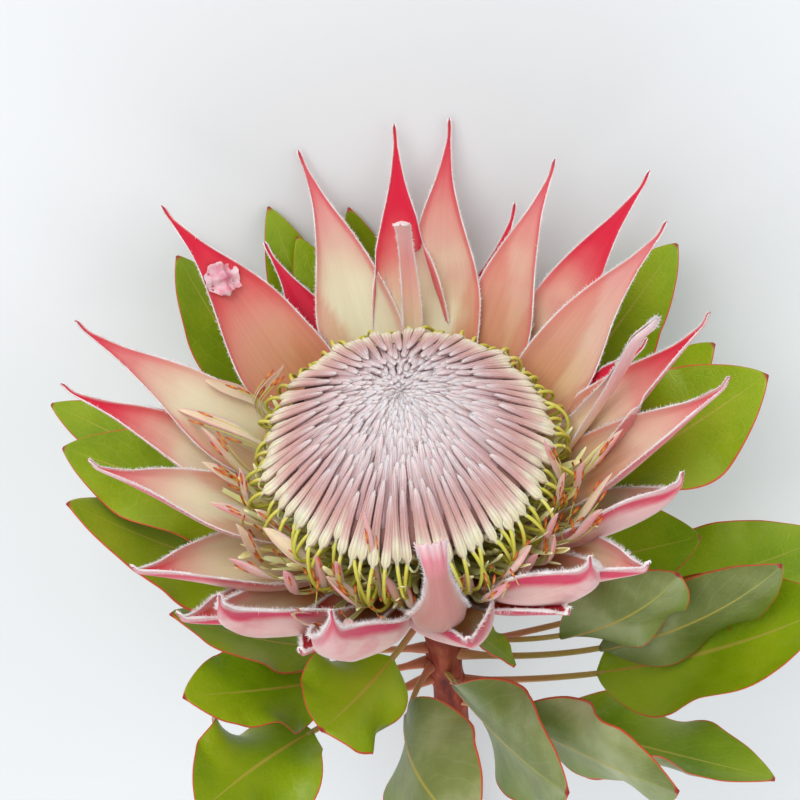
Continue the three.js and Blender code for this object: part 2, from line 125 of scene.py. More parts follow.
# Azimuth, height on the stem, petiole and blade length, width, rise at the stem and at the tip,
# sway, roll at the stem and at the tip, curl of both margins, and the curl's wave
LEAVES = [Leaf(f"leaf_{number:02}", *line) for number, line in enumerate((
    (344, -80, 55, 92, 52, 6, 48, 0, 12, 12, 65, 50, 20, 1.2, 0.2),
    (5, -62, 52, 84, 38, -4, 18, 0, 10, 10, 20, -10, 50, 1, 0.5),
    (358, -24, 34, 54, 38, -2, 14, 0, 10, 10, 20, 30, 40, 1, 0.1),
    (336, -52, 46, 58, 32, 4, 66, 4, -60, -100, 50, 40, 50, 1.2, 0.4),
    (4, -15, 45, 82, 46, 20, 40, 0, 12, 12, 20, 0, 95, 0.9, 0.5),
    (19, -38, 48, 79, 36, 26, 44, 0, 0, 0, 20, 20, 60, 1.2, 0.4),
    (34, -15, 50, 79, 36, 24, 38, 0, 0, 0, 20, 20, 45, 1.1, 0.6),
    (341, -63, 57, 76, 29, 2, 58, 8, -110, -100, 35, 30, 60, 1.2, 0.57),
    (109, -34, 52, 86, 25, 32, 60, 2, 0, 0, 20, 20, 20, 1.2, 0),
    (103, -13, 45, 66, 22, 28, 49, 6, 0, 0, 10, 10, 20, 1.2, 0.3),
    (132, -26, 50, 83, 32, 24, 52, -8, 0, 0, 20, 20, 25, 1.2, 0.6),
    (88, -52, 58, 88, 24, 31, 75, 11, 0, 0, 20, 20, 20, 1.2, 0.1),
    (153, -16, 50, 80, 30, 13, 22, 0, 0, 0, 20, 30, 50, 1.1, 0.2),
    (164, -13, 45, 74, 38, 18, 27, 0, -10, -10, 10, 10, 45, 1, 0.7),
    (176, -37, 42, 84, 40, 18, 46, -4, 6, 6, 10, -20, 35, 1.1, 0.2),
    (190, -60, 36, 66, 26, 18, 55, 0, 5, 5, 10, -10, 20, 1.1, 0.5),
    (201, -67.5, 42, 55, 35, 20, 36, 0, -5, -5, 10, 10, 60, 1.2, 0.5),
    (203, -77, 54, 58, 42, 14, 40, 34, -10, -10, 10, 20, 90, 1.1, 0.1),
    (236, -36, 26, 46, 40, 5, 34, 0, -20, -10, -80, 10, 50, 1.2, 0.2),
    (231, -67, 30, 54, 46, 12, 51, 60, -50, -130, 20, 20, 40, 1.1, 0.5),
    (314, -37, 10, 25, 16, 10, -20, 0, -20, -40, 30, 30, 20, 1.2, 0.2),
    (293, -69, 12, 76, 42, 6, 36, 2, -70, -115, 20, 20, 50, 1.1, 0.3),
    (312, -76, 32, 80, 36, 8, 34, -4, -60, -105, 30, 30, 50, 1.1, 0.5),
    (332, -90, 36, 80, 40, 2, 6, 0, 0, -20, 20, 60, 70, 1.2, 0.1),
), 1)]


# Small mathematics on rows of numbers


def unit(rows):
    return rows / np.linalg.norm(rows, axis=-1, keepdims=True)


def smooth(values, low, high):
    """0 below low, 1 above high, and a smooth step between."""
    share = np.clip((values - low) / (high - low), 0, 1)
    return share * share * (3 - 2 * share)


def polar(radius, azimuth, height):
    return np.stack(np.broadcast_arrays(
        radius * np.cos(azimuth), radius * np.sin(azimuth), height), -1)


def curve_through(points, steps):
    """A smooth path through a few points (Catmull-Rom), evenly stepped between them."""
    points = np.asarray(points, float)
    ends = np.vstack([2 * points[0] - points[1], points, 2 * points[-1] - points[-2]])
    at = np.linspace(0, len(points) - 1, steps)
    first = np.minimum(at.astype(int), len(points) - 2)
    t = (at - first)[:, None]
    a, b, c, d = ends[first], ends[first + 1], ends[first + 2], ends[first + 3]
    return 0.5 * (2 * b + (c - a) * t + (2 * a - 5 * b + 4 * c - d) * t ** 2
                  + (3 * b - a - 3 * c + d) * t ** 3)


def rows_at(at, s, rows):
    """Points or directions between the stations of a line."""
    return np.stack([np.interp(at, s, rows[:, k]) for k in range(3)], 1)


def frontness(azimuth, low, high):
    """0 at the far side and the flanks, 1 at the front; the azimuth is in degrees."""
    return smooth(-math.sin(math.radians(azimuth)), low, high)


# Meshes


def ring_quads(levels, around):
    """Faces from each ring of points to the next."""
    low = (np.arange(levels - 1)[:, None] * around + np.arange(around)[None, :]).ravel()
    nxt = low - low % around + (low + 1) % around
    return list(np.stack([low, nxt, nxt + around, low + around], 1))


class Piece:
    """Points in the flower's own millimetres, their faces, and some named numbers at each point."""

    def __init__(self, *names):
        self.points = []
        self.faces = []
        self.numbers = {name: [] for name in names}
        self.count = 0

    def add(self, points, faces, **numbers):
        points = np.asarray(points, float).reshape(-1, 3)
        self.faces.extend((np.asarray(face) + self.count).tolist() for face in faces)
        for name, rows in self.numbers.items():
            values = np.asarray(numbers.get(name, 0.0), float)
            rows.append(np.broadcast_to(values, (len(points),)))
        self.points.append(points)
        self.count += len(points)

    def tube(self, rings, **numbers):
        """Rings of points, closed at both ends. The numbers may have one value a ring."""
        levels, around = rings.shape[:2]
        caps = [np.arange(around)[::-1], (levels - 1) * around + np.arange(around)]
        spread = {}
        for name, value in numbers.items():
            value = np.asarray(value, float)
            if value.ndim:
                value = np.broadcast_to(value.reshape(levels, -1), (levels, around)).ravel()
            spread[name] = value
        self.add(rings, ring_quads(levels, around) + caps, **spread)

    def build(self, name, material, slot, *nodes):
        points = (np.concatenate(self.points) @ LAID.T) * MM + SHIFT
        mesh = bpy.data.meshes.new(name)
        mesh.from_pydata(points.tolist(), [], self.faces)
        for key, rows in self.numbers.items():
            layer = mesh.attributes.new(key, "FLOAT", "POINT")
            layer.data.foreach_set("value", np.concatenate(rows).astype(np.float32))
        mesh.polygons.foreach_set("use_smooth", [True] * len(mesh.polygons))
        mesh.materials.append(material)
        mesh.update()
        piece = bpy.data.objects.new(name, mesh)
        bpy.context.scene.collection.objects.link(piece)
        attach(piece, "root")
        if nodes:
            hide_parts(*nodes)


def round_rings(path, radii, sides, across, normal, flat=1.0):
    """Round or flattened rings along a path, square to it."""
    angle = TURN * np.arange(sides) / sides
    return path[:, None] + radii[:, None, None] * (
        np.cos(angle)[None, :, None] * across[:, None]
        + flat * np.sin(angle)[None, :, None] * normal[:, None])


def tube_rings(path, radii, sides, up=(0, 0, 1)):
    along = unit(np.gradient(path, axis=0))
    across = unit(np.cross(np.broadcast_to(up, along.shape), along))
    return round_rings(path, radii, sides, across, np.cross(along, across))


def beside(line, side, normal, across, inward):
    """A row of points at each point of a line, so far across and inward from it."""
    return (line[:, None] + across[..., None] * side[:, None]
            + inward[..., None] * normal[:, None])


def strap_rings(form, line, side, normal, wide, deep):
    """The same closed form at each point of a line, as wide and deep as the strap is there."""
    return beside(line, side, normal, wide[:, None] * form[:, 0], deep[:, None] * form[:, 1])


def ring_of(radius, height, sides):
    return polar(radius, TURN * np.arange(sides) / sides, height)


def add_hairs(piece, roots, ways, lengths, width):
    """Slender three-sided spikes."""
    ways = unit(ways)
    side = unit(np.cross(ways, unit(rng.normal(size=ways.shape))))
    over = np.cross(ways, side)
    corners = [roots + width * (math.cos(a) * side + math.sin(a) * over)
               for a in (0, TURN / 3, 2 * TURN / 3)]
    points = np.stack(corners + [roots + ways * lengths[:, None]], 1)
    start = 4 * np.arange(len(roots))[:, None]
    faces = np.concatenate([start + np.array(face) for face in
                            ((0, 1, 3), (1, 2, 3), (2, 0, 3), (2, 1, 0))])
    piece.add(points, list(faces))


# Blades: bracts and leaves share the CAD model's midrib and section


def columns(count):
    """Places across a blade from -1 to 1, closer together at its margins."""
    return np.sin(np.linspace(-math.pi / 2, math.pi / 2, count))[None, :]


def midrib(azimuth, radius, height, length, rise0, rise1, sway, roll0, roll1, s):
    """Points along a midrib that bends evenly, and its directions along, across and normal."""
    first = math.radians(rise0)
    bend = math.radians(rise1 - rise0)
    slope = first + bend * s
    out = (np.sin(slope) - math.sin(first)) / bend
    rise = (math.cos(first) - np.cos(slope)) / bend
    turn = math.radians(azimuth)
    outward = np.array([math.cos(turn), math.sin(turn), 0])
    sideways = np.array([-math.sin(turn), math.cos(turn), 0])
    point = (np.outer(height + length * rise, UP) + np.outer(radius + length * out, outward)
             + np.outer(sway * s * s, sideways))
    along = unit(np.outer(np.sin(slope), UP) + np.outer(np.cos(slope), outward)
                 + np.outer(2 * sway * s / length, sideways))
    across = unit(sideways - along * (along @ sideways)[:, None])
    roll = np.radians(roll0 + (roll1 - roll0) * s)[:, None]
    across = across * np.cos(roll) + np.cross(along, across) * np.sin(roll)
    return point, along, across, np.cross(along, across)


def section(half, curl, v):
    """A rolled cross-section: how far a point lies across and inward."""
    curl = np.where(np.abs(curl) < STRAIGHT, STRAIGHT, curl)
    return half * np.sin(curl * v) / curl, half * (1 - np.cos(curl * v)) / curl


def both_faces(values):
    return np.concatenate([values, values[:, ::-1]], 1)


def closed_blade(rib, across, inward, thickness):
    """Rings round a blade: the lower or outer face from right to left, then the other face back."""
    point, _, side, normal = rib
    middle = beside(point, side, normal, across, inward)
    lift = 0.5 * thickness[..., None] * normal[:, None]
    return np.concatenate([middle - lift, (middle + lift)[:, ::-1]], 1), middle


def face_numbers(v, steps):
    """Where a point lies across a blade, and 0 on the lower or outer face, 1 on the other."""
    across = np.broadcast_to(v, (steps, v.shape[1]))
    inner = np.concatenate([np.zeros_like(across), np.ones_like(across)], 1)
    return {"across": both_faces(across), "inner": inner}


# Bracts


# Bracts of a warmer, more orange tone, and below 0 those of a lighter one
WARM = {"B3": 0.9, "B7": 0.1, "B9": 0.45, "B15": 0.1, "B1": -0.3, "B2": -0.7, "B5": -0.5,
        "B10": -0.6, "B25": -0.3, "B16": -0.3, "B17": -0.3, "B21": -0.3, "B22": -0.5,
        "B22b": -0.4, "B23": -0.7}

BRACT_STEPS = 48
BRACT_ACROSS = 19
CUP_SIDES = 48

# Half width of a point, half width of the rolled tube, thickness at the margin, and what the
# middle has more than that
POINT_HALF = 0.16
ROLLED_HALF = 3.7
BRACT_THIN = 0.25
BRACT_BODY = 0.65

# The scrap's size and half thickness, the bract that it clings to, and how far along and aside
SCRAP_REACH = 4.9
SCRAP_HALF = 0.14
SCRAP_BRACT = "B3"
SCRAP_ALONG = 0.735
SCRAP_ASIDE = 1.8

# Bracts that rise more steeply at the tip neither press on others nor are pressed; the rest
# keep a gap, from this far out
STEEP = 65
PRESS_GAP = 1.1
PRESS_FROM = 16

# Width of the margins' hairs, how many stand on a millimetre and how many more in front, the
# radius of the felt below them and what the front has more, and the hairs of the tuft
MARGIN_HAIR = 0.1
HAIRS_PER_MM = (5.4, 4.6)
FELT = (0.12, 0.28)
FELT_LEAST = 0.03
TUFT_HAIRS = 260


def bract_half(bract, s):
    swell = BRACT_ROOT + (1 - BRACT_ROOT) * np.sin(math.pi / 2 * np.minimum(1, s / BRACT_WIDEST))
    left = np.clip((1 - s) / (1 - BRACT_WIDEST), 0, 1)
    narrowing = np.sin(math.pi / 2 * left ** bract.taper)
    end = bract.tip / 2 if bract.tip > POINTED else POINT_HALF
    return np.maximum(end, bract.width / 2 * np.where(s < BRACT_WIDEST, swell, narrowing))


def bract_curl(bract, s):
    return np.radians(bract.cup * (0.8 + 0.9 * s ** 2))


def bract_rib(bract, s, twist=0):
    radius, height = BRACT_ROWS[bract.row]
    return midrib(bract.azimuth, radius, height, bract.length, bract.rise0, bract.rise1,
                  bract.sway, 0, twist, s)


def bract_named(name):
    return next(bract for bract in BRACTS if bract.name == name)


def out_and_aside(points, bract):
    """How far out along a bract's azimuth points lie, and how far to its left."""
    turn = math.radians(bract.azimuth)
    return (points[..., :2] @ [math.cos(turn), math.sin(turn)],
            points[..., :2] @ [-math.sin(turn), math.cos(turn)])


def lies_over(points, bract):
    """How surely another bract lies under these points: 0 to 1."""
    s = np.linspace(0, 1, 40)
    rib = bract_rib(bract, s)[0]
    out, aside = out_and_aside(rib, bract)
    far, side = out_and_aside(points, bract)
    rising = np.maximum.accumulate(out)
    share = np.interp(far, rising, s)
    room = 0.86 * bract_half(bract, share) - np.abs(side - np.interp(share, s, aside))
    under = points[..., 2] - np.interp(share, s, rib[:, 2])
    within = (far < rising[-1] - 1) * (far > 8)
    return smooth(room, -0.8, 1.6) * smooth(under, -0.5, 1.5) * within


def rank(bract):
    """The higher of two bracts that cross lies on top."""
    front = 0.25 * (1 - math.sin(math.radians(bract.azimuth)))
    return ("outer", "middle", "inner").index(bract.row) + front + 0.3 * (bract.name == "B9")


def press_under(points, bract):
    """How far points of a bract must sink to stay below the bracts that lie on top of it."""
    sink = np.zeros(points.shape[:-1])
    if bract.rise1 > STEEP:
        return sink
    s = np.linspace(0, 1, 60)
    for other in BRACTS:
        if other.rise1 > STEEP or rank(other) <= rank(bract):
            continue
        rib = bract_rib(other, s)[0]
        out, _ = out_and_aside(rib, other)
        far, side = out_and_aside(points, other)
        share = np.interp(far, out, s)
        half = bract_half(other, share)
        aside = side - other.sway * share ** 2
        curl = bract_curl(other, share)
        lift = half * (1 - np.cos(curl * np.clip(aside / half, -1, 1))) / curl
        slope = np.radians(other.rise0 + (other.rise1 - other.rise0) * share)
        surface = np.interp(share, s, rib[:, 2]) + lift / np.cos(slope)
        above = points[..., 2] - surface + PRESS_GAP
        inside = smooth(half - np.abs(aside), -0.3, 1.2) * (far < out[-1] - 1) * (far > PRESS_FROM)
        sink = np.maximum(sink, np.maximum(0, above) * inside * smooth(above, 10, 7))
    return sink


def round_end(row, reach, depth):
    """How a blade narrows to a round end within its last part."""
    return np.sqrt(1 - depth * np.clip((row - 1 + reach) / reach, 0, 1) ** 2)


def bract_outline(bract, row):
    """Half width and curl, which depend on the kind of tip."""
    half, curl = bract_half(bract, row), bract_curl(bract, row)
    if bract.tip == ROLLED:
        curl = np.radians(bract.cup * (1 + 2.1 * smooth(row, 0.35, 0.75)))
        half = np.maximum(half * (1 - 0.3 * smooth(row, 0.25, 0.6)), ROLLED_HALF)
        half = half * round_end(row, 0.045, 0.9)
    elif bract.tip > POINTED:
        curl = curl * (1 - 0.7 * smooth(row, 0.7, 1.0))
    else:
        half = half * (1 + 0.05 * smooth(row, 0.3, 0.5) * smooth(row, 0.8, 0.6)
                       - 0.16 * np.exp(-((row - 0.86) / 0.07) ** 2))
        neck = smooth(row, 0.84, 0.92) * (1 - 0.6 * smooth(row, 0.985, 1.0))
        half = np.maximum(half, 0.75 * neck)
    return half, curl


def bract_skin(bract, row, v, across, inward):
    """Uneven, rolled margins, a sidewards bow, a crease along the middle, and the tip's form."""
    body = np.sin(math.pi * np.clip(0.03 + 0.97 * row, 0, 1)) ** 0.7
    edge = smooth(np.abs(v), 0.7, 1.0)
    hand = np.sign(v)
    phase = rng.uniform(0, TURN, 3)
    across = across * (1 + 0.03 * np.sin(7 * row + phase[2] + hand)
                       + 0.015 * np.sin(19 * row + phase[0] - hand))
    bow = math.tanh((85 - bract.azimuth) / 20) if bract.azimuth < 260 else 1.0
    bend = np.sin(math.pi * np.clip((row - 0.5) / 0.5, 0, 1)) ** 1.5
    across = across + (1.6 * bow + rng.normal(0, 0.5)) * bend
    ripple = (np.sin(9 * row + phase[0] + 1.3 * hand) * 0.5
              + np.sin(21 * row + phase[1] - hand) * 0.22)
    inward = inward + body * edge * (bract.roll + ripple)
    across = across * (1 - 0.04 * body * edge * bract.roll)
    inward = inward - 0.5 * body * np.exp(-(v / 0.13) ** 2)
    inward = inward + 1.6 * smooth(row, 0.93, 1.0) ** 2
    top = smooth(row, 0.88, 1.0)
    if bract.tip == BROAD:
        across = across * (1 - 0.24 * smooth(row, 0.45, 0.85)) * (1 + 0.22 * top ** 2)
        inward = inward + top * (np.sin(15 * v + phase[2]) + 0.6 * np.sin(31 * v) + 1.2 * top)
    elif bract.tip == NARROW:
        across = across * round_end(row, 0.055, 0.97)
        inward = inward + 2.0 * top ** 2
    elif bract.tip == ROLLED:
        inward = inward - 5.0 * top ** 2
    return across, inward


def add_bract(piece, fringe, bract):
    s = 1 - np.linspace(1, 0, BRACT_STEPS) ** 1.2
    row = s[:, None]
    v = columns(BRACT_ACROSS)
    rib = bract_rib(bract, s, bract.twist)
    half, curl = bract_outline(bract, row)
    across, inward = bract_skin(bract, row, v, *section(half, curl, v))
    thickness = BRACT_THIN + BRACT_BODY * (1 - np.abs(v) ** 3) * (1 - 0.5 * row)
    rings, middle = closed_blade(rib, across, inward, thickness)
    sink = press_under(middle, bract)
    middle[..., 2] -= sink
    rings[..., 2] -= both_faces(sink)
    # Where another bract lies under this one; the colour paints shade there
    cover = np.max([lies_over(middle, other) for other in BRACTS if other is not bract], 0)
    lower = 1 if 100 < bract.azimuth < 265 else -1
    band = (0.25 + 0.4 * frontness(bract.azimuth, 0.1, 0.6)
            + 0.45 * smooth(lower * v, 0.2, 0.8))
    piece.tube(rings, along=s, cover=both_faces(cover), **face_numbers(v, BRACT_STEPS),
               margin=both_faces(half * (1 - np.abs(v))),
               band=both_faces(np.broadcast_to(band, across.shape)),
               blunt=bract.tip > POINTED, pale=bract.tip in (ROLLED, NARROW),
               flush=bract.flush, warm=WARM.get(bract.name, 0.0), tone=rng.uniform())
    add_fringe(fringe, bract, s, middle, rib)
    if bract.tip == ROLLED:
        add_tuft(fringe, middle[-3:].reshape(-1, 3))


def add_fringe(fringe, bract, s, middle, rib):
    """White silky hairs along both margins, woollier on the bracts at the front."""
    _, along, side, normal = rib
    front = frontness(bract.azimuth, 0.1, 0.8)
    dense = int(bract.length * (HAIRS_PER_MM[0] + HAIRS_PER_MM[1] * front))
    uneven = np.interp(s, np.linspace(0, 1, 25), rng.uniform(0.3, 1.5, 25))
    thick = FELT[0] + FELT[1] * front * (bract.tip == POINTED)
    felt = thick * uneven * smooth(s, 0.06, 0.3) + FELT_LEAST
    for column, way in ((0, -1), (-1, 1)):
        margin = middle[:, column]
        at = np.sort(rng.uniform(0.10, 0.995, dense))
        fringe.tube(tube_rings(margin + 0.1 * normal, felt, 6))
        roots = rows_at(at, s, margin) + rng.normal(size=(dense, 3)) * 0.12
        ahead, aside, up = (rows_at(at, s, rows) for rows in (along, side, normal))
        stray = rng.normal(size=(dense, 3)) * 0.45
        ways = (ahead * rng.uniform(0.3, 1.2, (dense, 1))
                + way * aside * rng.uniform(0.1, 0.9, (dense, 1)))
        ways = ways + up * rng.uniform(-0.1, 0.9, (dense, 1)) + stray
        longest = (1.0 + 0.8 * front) * (1 - 0.35 * smooth(at, 0.8, 1.0))
        add_hairs(fringe, roots, ways, longest * rng.uniform(0.4, 1.25, dense), MARGIN_HAIR)


def add_tuft(fringe, end):
    """White wool round the curled end of a rolled bract."""
    size = (TUFT_HAIRS, 3)
    roots = end[rng.integers(0, len(end), TUFT_HAIRS)] + rng.normal(size=size) * 0.35
    add_hairs(fringe, roots, rng.normal(size=size), rng.uniform(0.6, 1.5, TUFT_HAIRS),
              MARGIN_HAIR)


def build_scrap():
    """A torn pink scrap that clings to the inner face of one bract."""
    rib = bract_rib(bract_named(SCRAP_BRACT), np.array([SCRAP_ALONG]))
    point, along, side, normal = (rows[0] for rows in rib)
    angle = TURN * np.arange(40) / 40
    shares = np.array([0.02, 0.2, 0.4, 0.6, 0.8, 0.93, 1.0])
    reach = SCRAP_REACH * (1 + 0.22 * np.sin(angle + 0.6) + 0.16 * np.sin(2 * angle + 1)
                           + 0.08 * np.sin(5 * angle) + 0.06 * np.sin(11 * angle))
    u = shares[:, None] * reach * np.cos(angle)
    w = shares[:, None] * reach * 1.2 * np.sin(angle)
    lift = (2.4 + 1.1 * np.sin(0.8 * u + 0.3 * w + 1) + 0.8 * np.sin(1.3 * w - 0.5 * u)
            + 0.5 * np.sin(2.3 * u + 1.1 * w))
    sheet = (point - SCRAP_ASIDE * side + u[..., None] * side + w[..., None] * along
             + lift[..., None] * normal)
    piece = Piece("along")
    piece.tube(np.concatenate([sheet - SCRAP_HALF * normal, (sheet + SCRAP_HALF * normal)[::-1]]),
               along=np.concatenate([shares, shares[::-1]]))
    piece.build("petal_scrap", scrap_material(), "bract")


def build_bracts():
    piece = Piece("along", "across", "inner", "cover", "margin", "blunt", "pale", "flush",
                  "warm", "tone", "band")
    fringe = Piece()
    cup = np.stack([ring_of(radius, height, CUP_SIDES) for radius, height in RECEPTACLE])
    piece.tube(cup, along=0.05, margin=9.0, tone=0.4, flush=0.2)
    for bract in BRACTS:
        add_bract(piece, fringe, bract)
    piece.build("bract_star", bract_material(), "bract", "bracts")
    fringe.build("bract_fringe", hair_material("silky_hair", *SILK), "bract")
    build_scrap()


# Closed florets


# Rings of floret limbs from the rim to the apex: outer radius, inner radius, count, and how many
# stand side by side at the outer end
FLORET_RINGS = [
    (42, 26.5, 41, 82), (41, 22.5, 41, 82), (33, 19.6, 56, 60), (30, 17.2, 52, 56),
    (27, 15, 48, 52), (24, 13, 44, 48), (21, 11.1, 40, 44), (18.5, 9.4, 36, 40),
    (16, 7.8, 32, 35), (14, 6.3, 28, 31), (12, 5, 24, 27), (10, 3.8, 20, 22),
    (8.5, 2.7, 16, 18), (7, 1.7, 11, 13), (5.5, 0.8, 7, 9), (4, 0.1, 4, 6),
]
RIM_RINGS = 2

# Along a limb from its hooked outer end: share of the length, share of the width, thickness, lift
LIMB_STATIONS = np.array([
    (-0.125, 0.22, 0.5, -3.3), (-0.10, 0.26, 0.6, -2.7), (-0.07, 0.36, 0.9, -2.2),
    (-0.04, 0.78, 1.5, -2.0), (0.0, 0.98, 1.9, -1.8), (0.08, 1.0, 1.9, -1.6),
    (0.22, 0.92, 1.7, -1.2), (0.4, 0.84, 1.6, -0.6), (0.58, 0.84, 1.5, 0.0),
    (0.74, 0.86, 1.4, 0.5), (0.86, 0.76, 1.2, 0.85), (0.95, 0.52, 0.9, 1.0),
    (1.0, 0.14, 0.3, 0.95),
])
LIMB_HOOK = 3
LIMB_MIDDLE = 6

# Section of a limb: across and up, with two grooves between three ridges
LIMB_RIDGE = 0.46
LIMB_SECTION = np.array([
    (-0.8, -0.6), (0.8, -0.6), (1.0, -0.1), (0.86, 0.26), (0.6, 0.36), (0.42, 0.2),
    (0.2, LIMB_RIDGE), (-0.2, LIMB_RIDGE), (-0.42, 0.2), (-0.6, 0.36), (-0.86, 0.26),
    (-1.0, -0.1),
])

LIMB_HAIRS = 34
LIMB_TIP_HAIRS = 12
LIMB_HAIR = 0.055

# Greatest half width of a limb at the rim and further in, the least one, and the share of the
# room round the dome that a limb fills, further in and at the apex
RIM_HALF = 1.7
INNER_HALF = 1.3
LEAST_HALF = 0.24
LIMB_FILLS = 0.53
APEX_FILLS = 0.62
APEX_RADIUS = 15

# The core under the limbs: its radii, how far below the dome's surface it lies at four of
# them, and the height of its foot
CORE_RADII = [37.5, 38, 36, 30, 24, 18, 12, 6, 1.0]
CORE_DEPTH = ([0, 12, 30, 38], [1.2, 1.4, 1.5, 2.2])
CORE_FOOT = 44.8
CORE_SIDES = 60


def dome_height(radius):
    return DOME_APEX - (DOME_APEX - DOME_RIM) * np.clip(
        np.abs(radius) / DOME_RADIUS, 0, 1) ** DOME_CURVE


def far_lift(radius, azimuth):
    """The far side of the rim stands a little higher."""
    return 2.4 * smooth(np.sin(azimuth), 0.0, 1.0) * smooth(radius, 22, 44)


def add_limb(piece, hairs, ring, azimuth, rim):
    """One floret limb and its hairs. Its outer end is where a style may leave it."""
    outer, inner, _, neighbours = ring
    share, wide, thick, lift = LIMB_STATIONS.T
    inward = np.clip(share, 0, 1)
    outer = outer + rng.normal(0, 0.9 if rim else 0.3)
    length = (outer - inner) * rng.normal(1, 0.05)
    radius = outer - length * share
    drift = (rng.normal(0, 0.5) * inward ** 2
             + 0.25 * np.sin(4 * share + rng.uniform(0, TURN)))
    turn = azimuth + drift / np.maximum(radius, 4)
    size = min(1.0, 0.42 + outer / 62)
    height = dome_height(radius) + lift * size + rng.normal(0, 0.45 * size) * inward
    centre = polar(radius, turn, height + far_lift(radius, azimuth))
    fills = APEX_FILLS if outer < APEX_RADIUS else LIMB_FILLS
    room = fills * TURN * np.maximum(radius, 0.9) / neighbours
    half = np.minimum(RIM_HALF if rim else INNER_HALF, room) * wide * rng.normal(1, 0.07)
    half = np.maximum(half, LEAST_HALF)
    roll = rng.normal(0, 0.26)
    across = np.stack([-np.sin(turn), np.cos(turn), np.zeros_like(turn)], 1)
    side = across * math.cos(roll) + UP * math.sin(roll)
    over = UP * math.cos(roll) - across * math.sin(roll)
    rings = strap_rings(LIMB_SECTION, centre, side, over, half, thick * size)[:, ::-1]
    ridge = np.broadcast_to(LIMB_SECTION[::-1, 1] / LIMB_RIDGE, rings.shape[:2])
    piece.tube(rings, along=inward, radius=radius, across=ridge, tone=rng.uniform(), rim=rim)
    at = np.concatenate([rng.uniform(0.05, 1.0, LIMB_HAIRS - LIMB_TIP_HAIRS),
                         rng.uniform(0.9, 1.0, LIMB_TIP_HAIRS)])
    edge = np.sign(rng.normal(size=LIMB_HAIRS))
    body, sideways = share[LIMB_HOOK:], side[LIMB_MIDDLE]
    out = np.interp(at, body, half[LIMB_HOOK:]) * rng.uniform(0.5, 1.0, LIMB_HAIRS) * edge
    roots = (rows_at(at, body, centre[LIMB_HOOK:]) + out[:, None] * sideways
             + over[LIMB_MIDDLE] * 0.35 * size)
    apexward = -np.array([math.cos(azimuth), math.sin(azimuth), 0])
    ways = (apexward * rng.uniform(0.2, 1.0, (LIMB_HAIRS, 1)) + sideways * edge[:, None] * 0.5
            + UP * rng.uniform(0.3, 1.0, (LIMB_HAIRS, 1))
            + rng.normal(size=(LIMB_HAIRS, 3)) * 0.3)
    lengths = rng.uniform(0.35, 0.8, LIMB_HAIRS) * (1 + 0.6 * (at > 0.9))
    add_hairs(hairs, roots, ways, lengths, LIMB_HAIR)
    return centre[0]


def build_florets():
    """The dome; gives the outer end and azimuth of each floret at its rim."""
    piece = Piece("along", "radius", "across", "tone", "rim")
    hairs = Piece()
    radii = np.array(CORE_RADII)
    heights = dome_height(radii) - np.interp(radii, *CORE_DEPTH)
    heights[0] = CORE_FOOT
    piece.tube(np.stack([ring_of(r, h, CORE_SIDES) for r, h in zip(radii, heights)]),
               along=-1.0, radius=radii, tone=0.5)
    beaks = []
    for level, ring in enumerate(FLORET_RINGS):
        rim = level < RIM_RINGS
        count = ring[2]
        start = 0.5 * (level % 2) + (0 if rim else rng.uniform(0, 1))
        for i in range(count):
            azimuth = TURN * (i + start + rng.normal(0, 0.07 if rim else 0.12)) / count
            beak = add_limb(piece, hairs, ring, azimuth, rim)
            if rim:
                beaks.append((beak, azimuth))
    piece.build("floret_limbs", floret_material(), "floret", "closed_florets")
    hairs.build("floret_tip_hairs", hair_material("floret_hair", *VELVET), "floret")
    return beaks


# Floret tubes and styles


TUBE_PROFILE = [(16.4, 12.3), (17.2, 17), (22.5, 23.5), (28.3, 30), (33.5, 38), (37.5, 44.2)]
TUBE_COUNT = 110
TUBE_STEPS = 12
TUBE_RADII = (0.55, 1.0)
SKIRT_SIDES = 72
SKIRT_INSET = 0.9

# A style leaves the beak of a rim floret, bows out and down, and hooks back in, and a floret's
# thread turns in sooner. The path says how far out and up from the beak; the radii and the
# shares along are those of the two ends.
STYLE = {"path": [(-1.6, 0.5), (0.6, -0.3), (2.4, -2.2), (3.6, -5.0), (3.7, -8.0), (2.4, -10.6),
                  (-0.6, -12.0), (-6.0, -12.2)],
         "steps": 26, "sides": 7, "radii": (0.62, 0.5), "shares": (0, 1)}
THREAD = {"path": [(-0.5, 0.2), (0.4, -1.6), (-1.5, -3.6), (-5.5, -4.8)],
          "steps": 12, "sides": 5, "radii": (0.42, 0.3), "shares": (0.2, 0.4)}
THREADED = 0.6


def add_style(piece, beak, azimuth, sway, wide, deep, path, steps, sides, radii, shares):
    radius, height = math.hypot(beak[0], beak[1]), beak[2]
    line = curve_through([polar(radius + wide * out, azimuth + sway * k, height + deep * up)
                          for k, (out, up) in enumerate(path)], steps)
    rings = tube_rings(line, np.linspace(*radii, steps), sides,
                       (-math.sin(azimuth), math.cos(azimuth), 0.02))
    piece.tube(rings, along=np.linspace(*shares, steps), tone=rng.uniform())


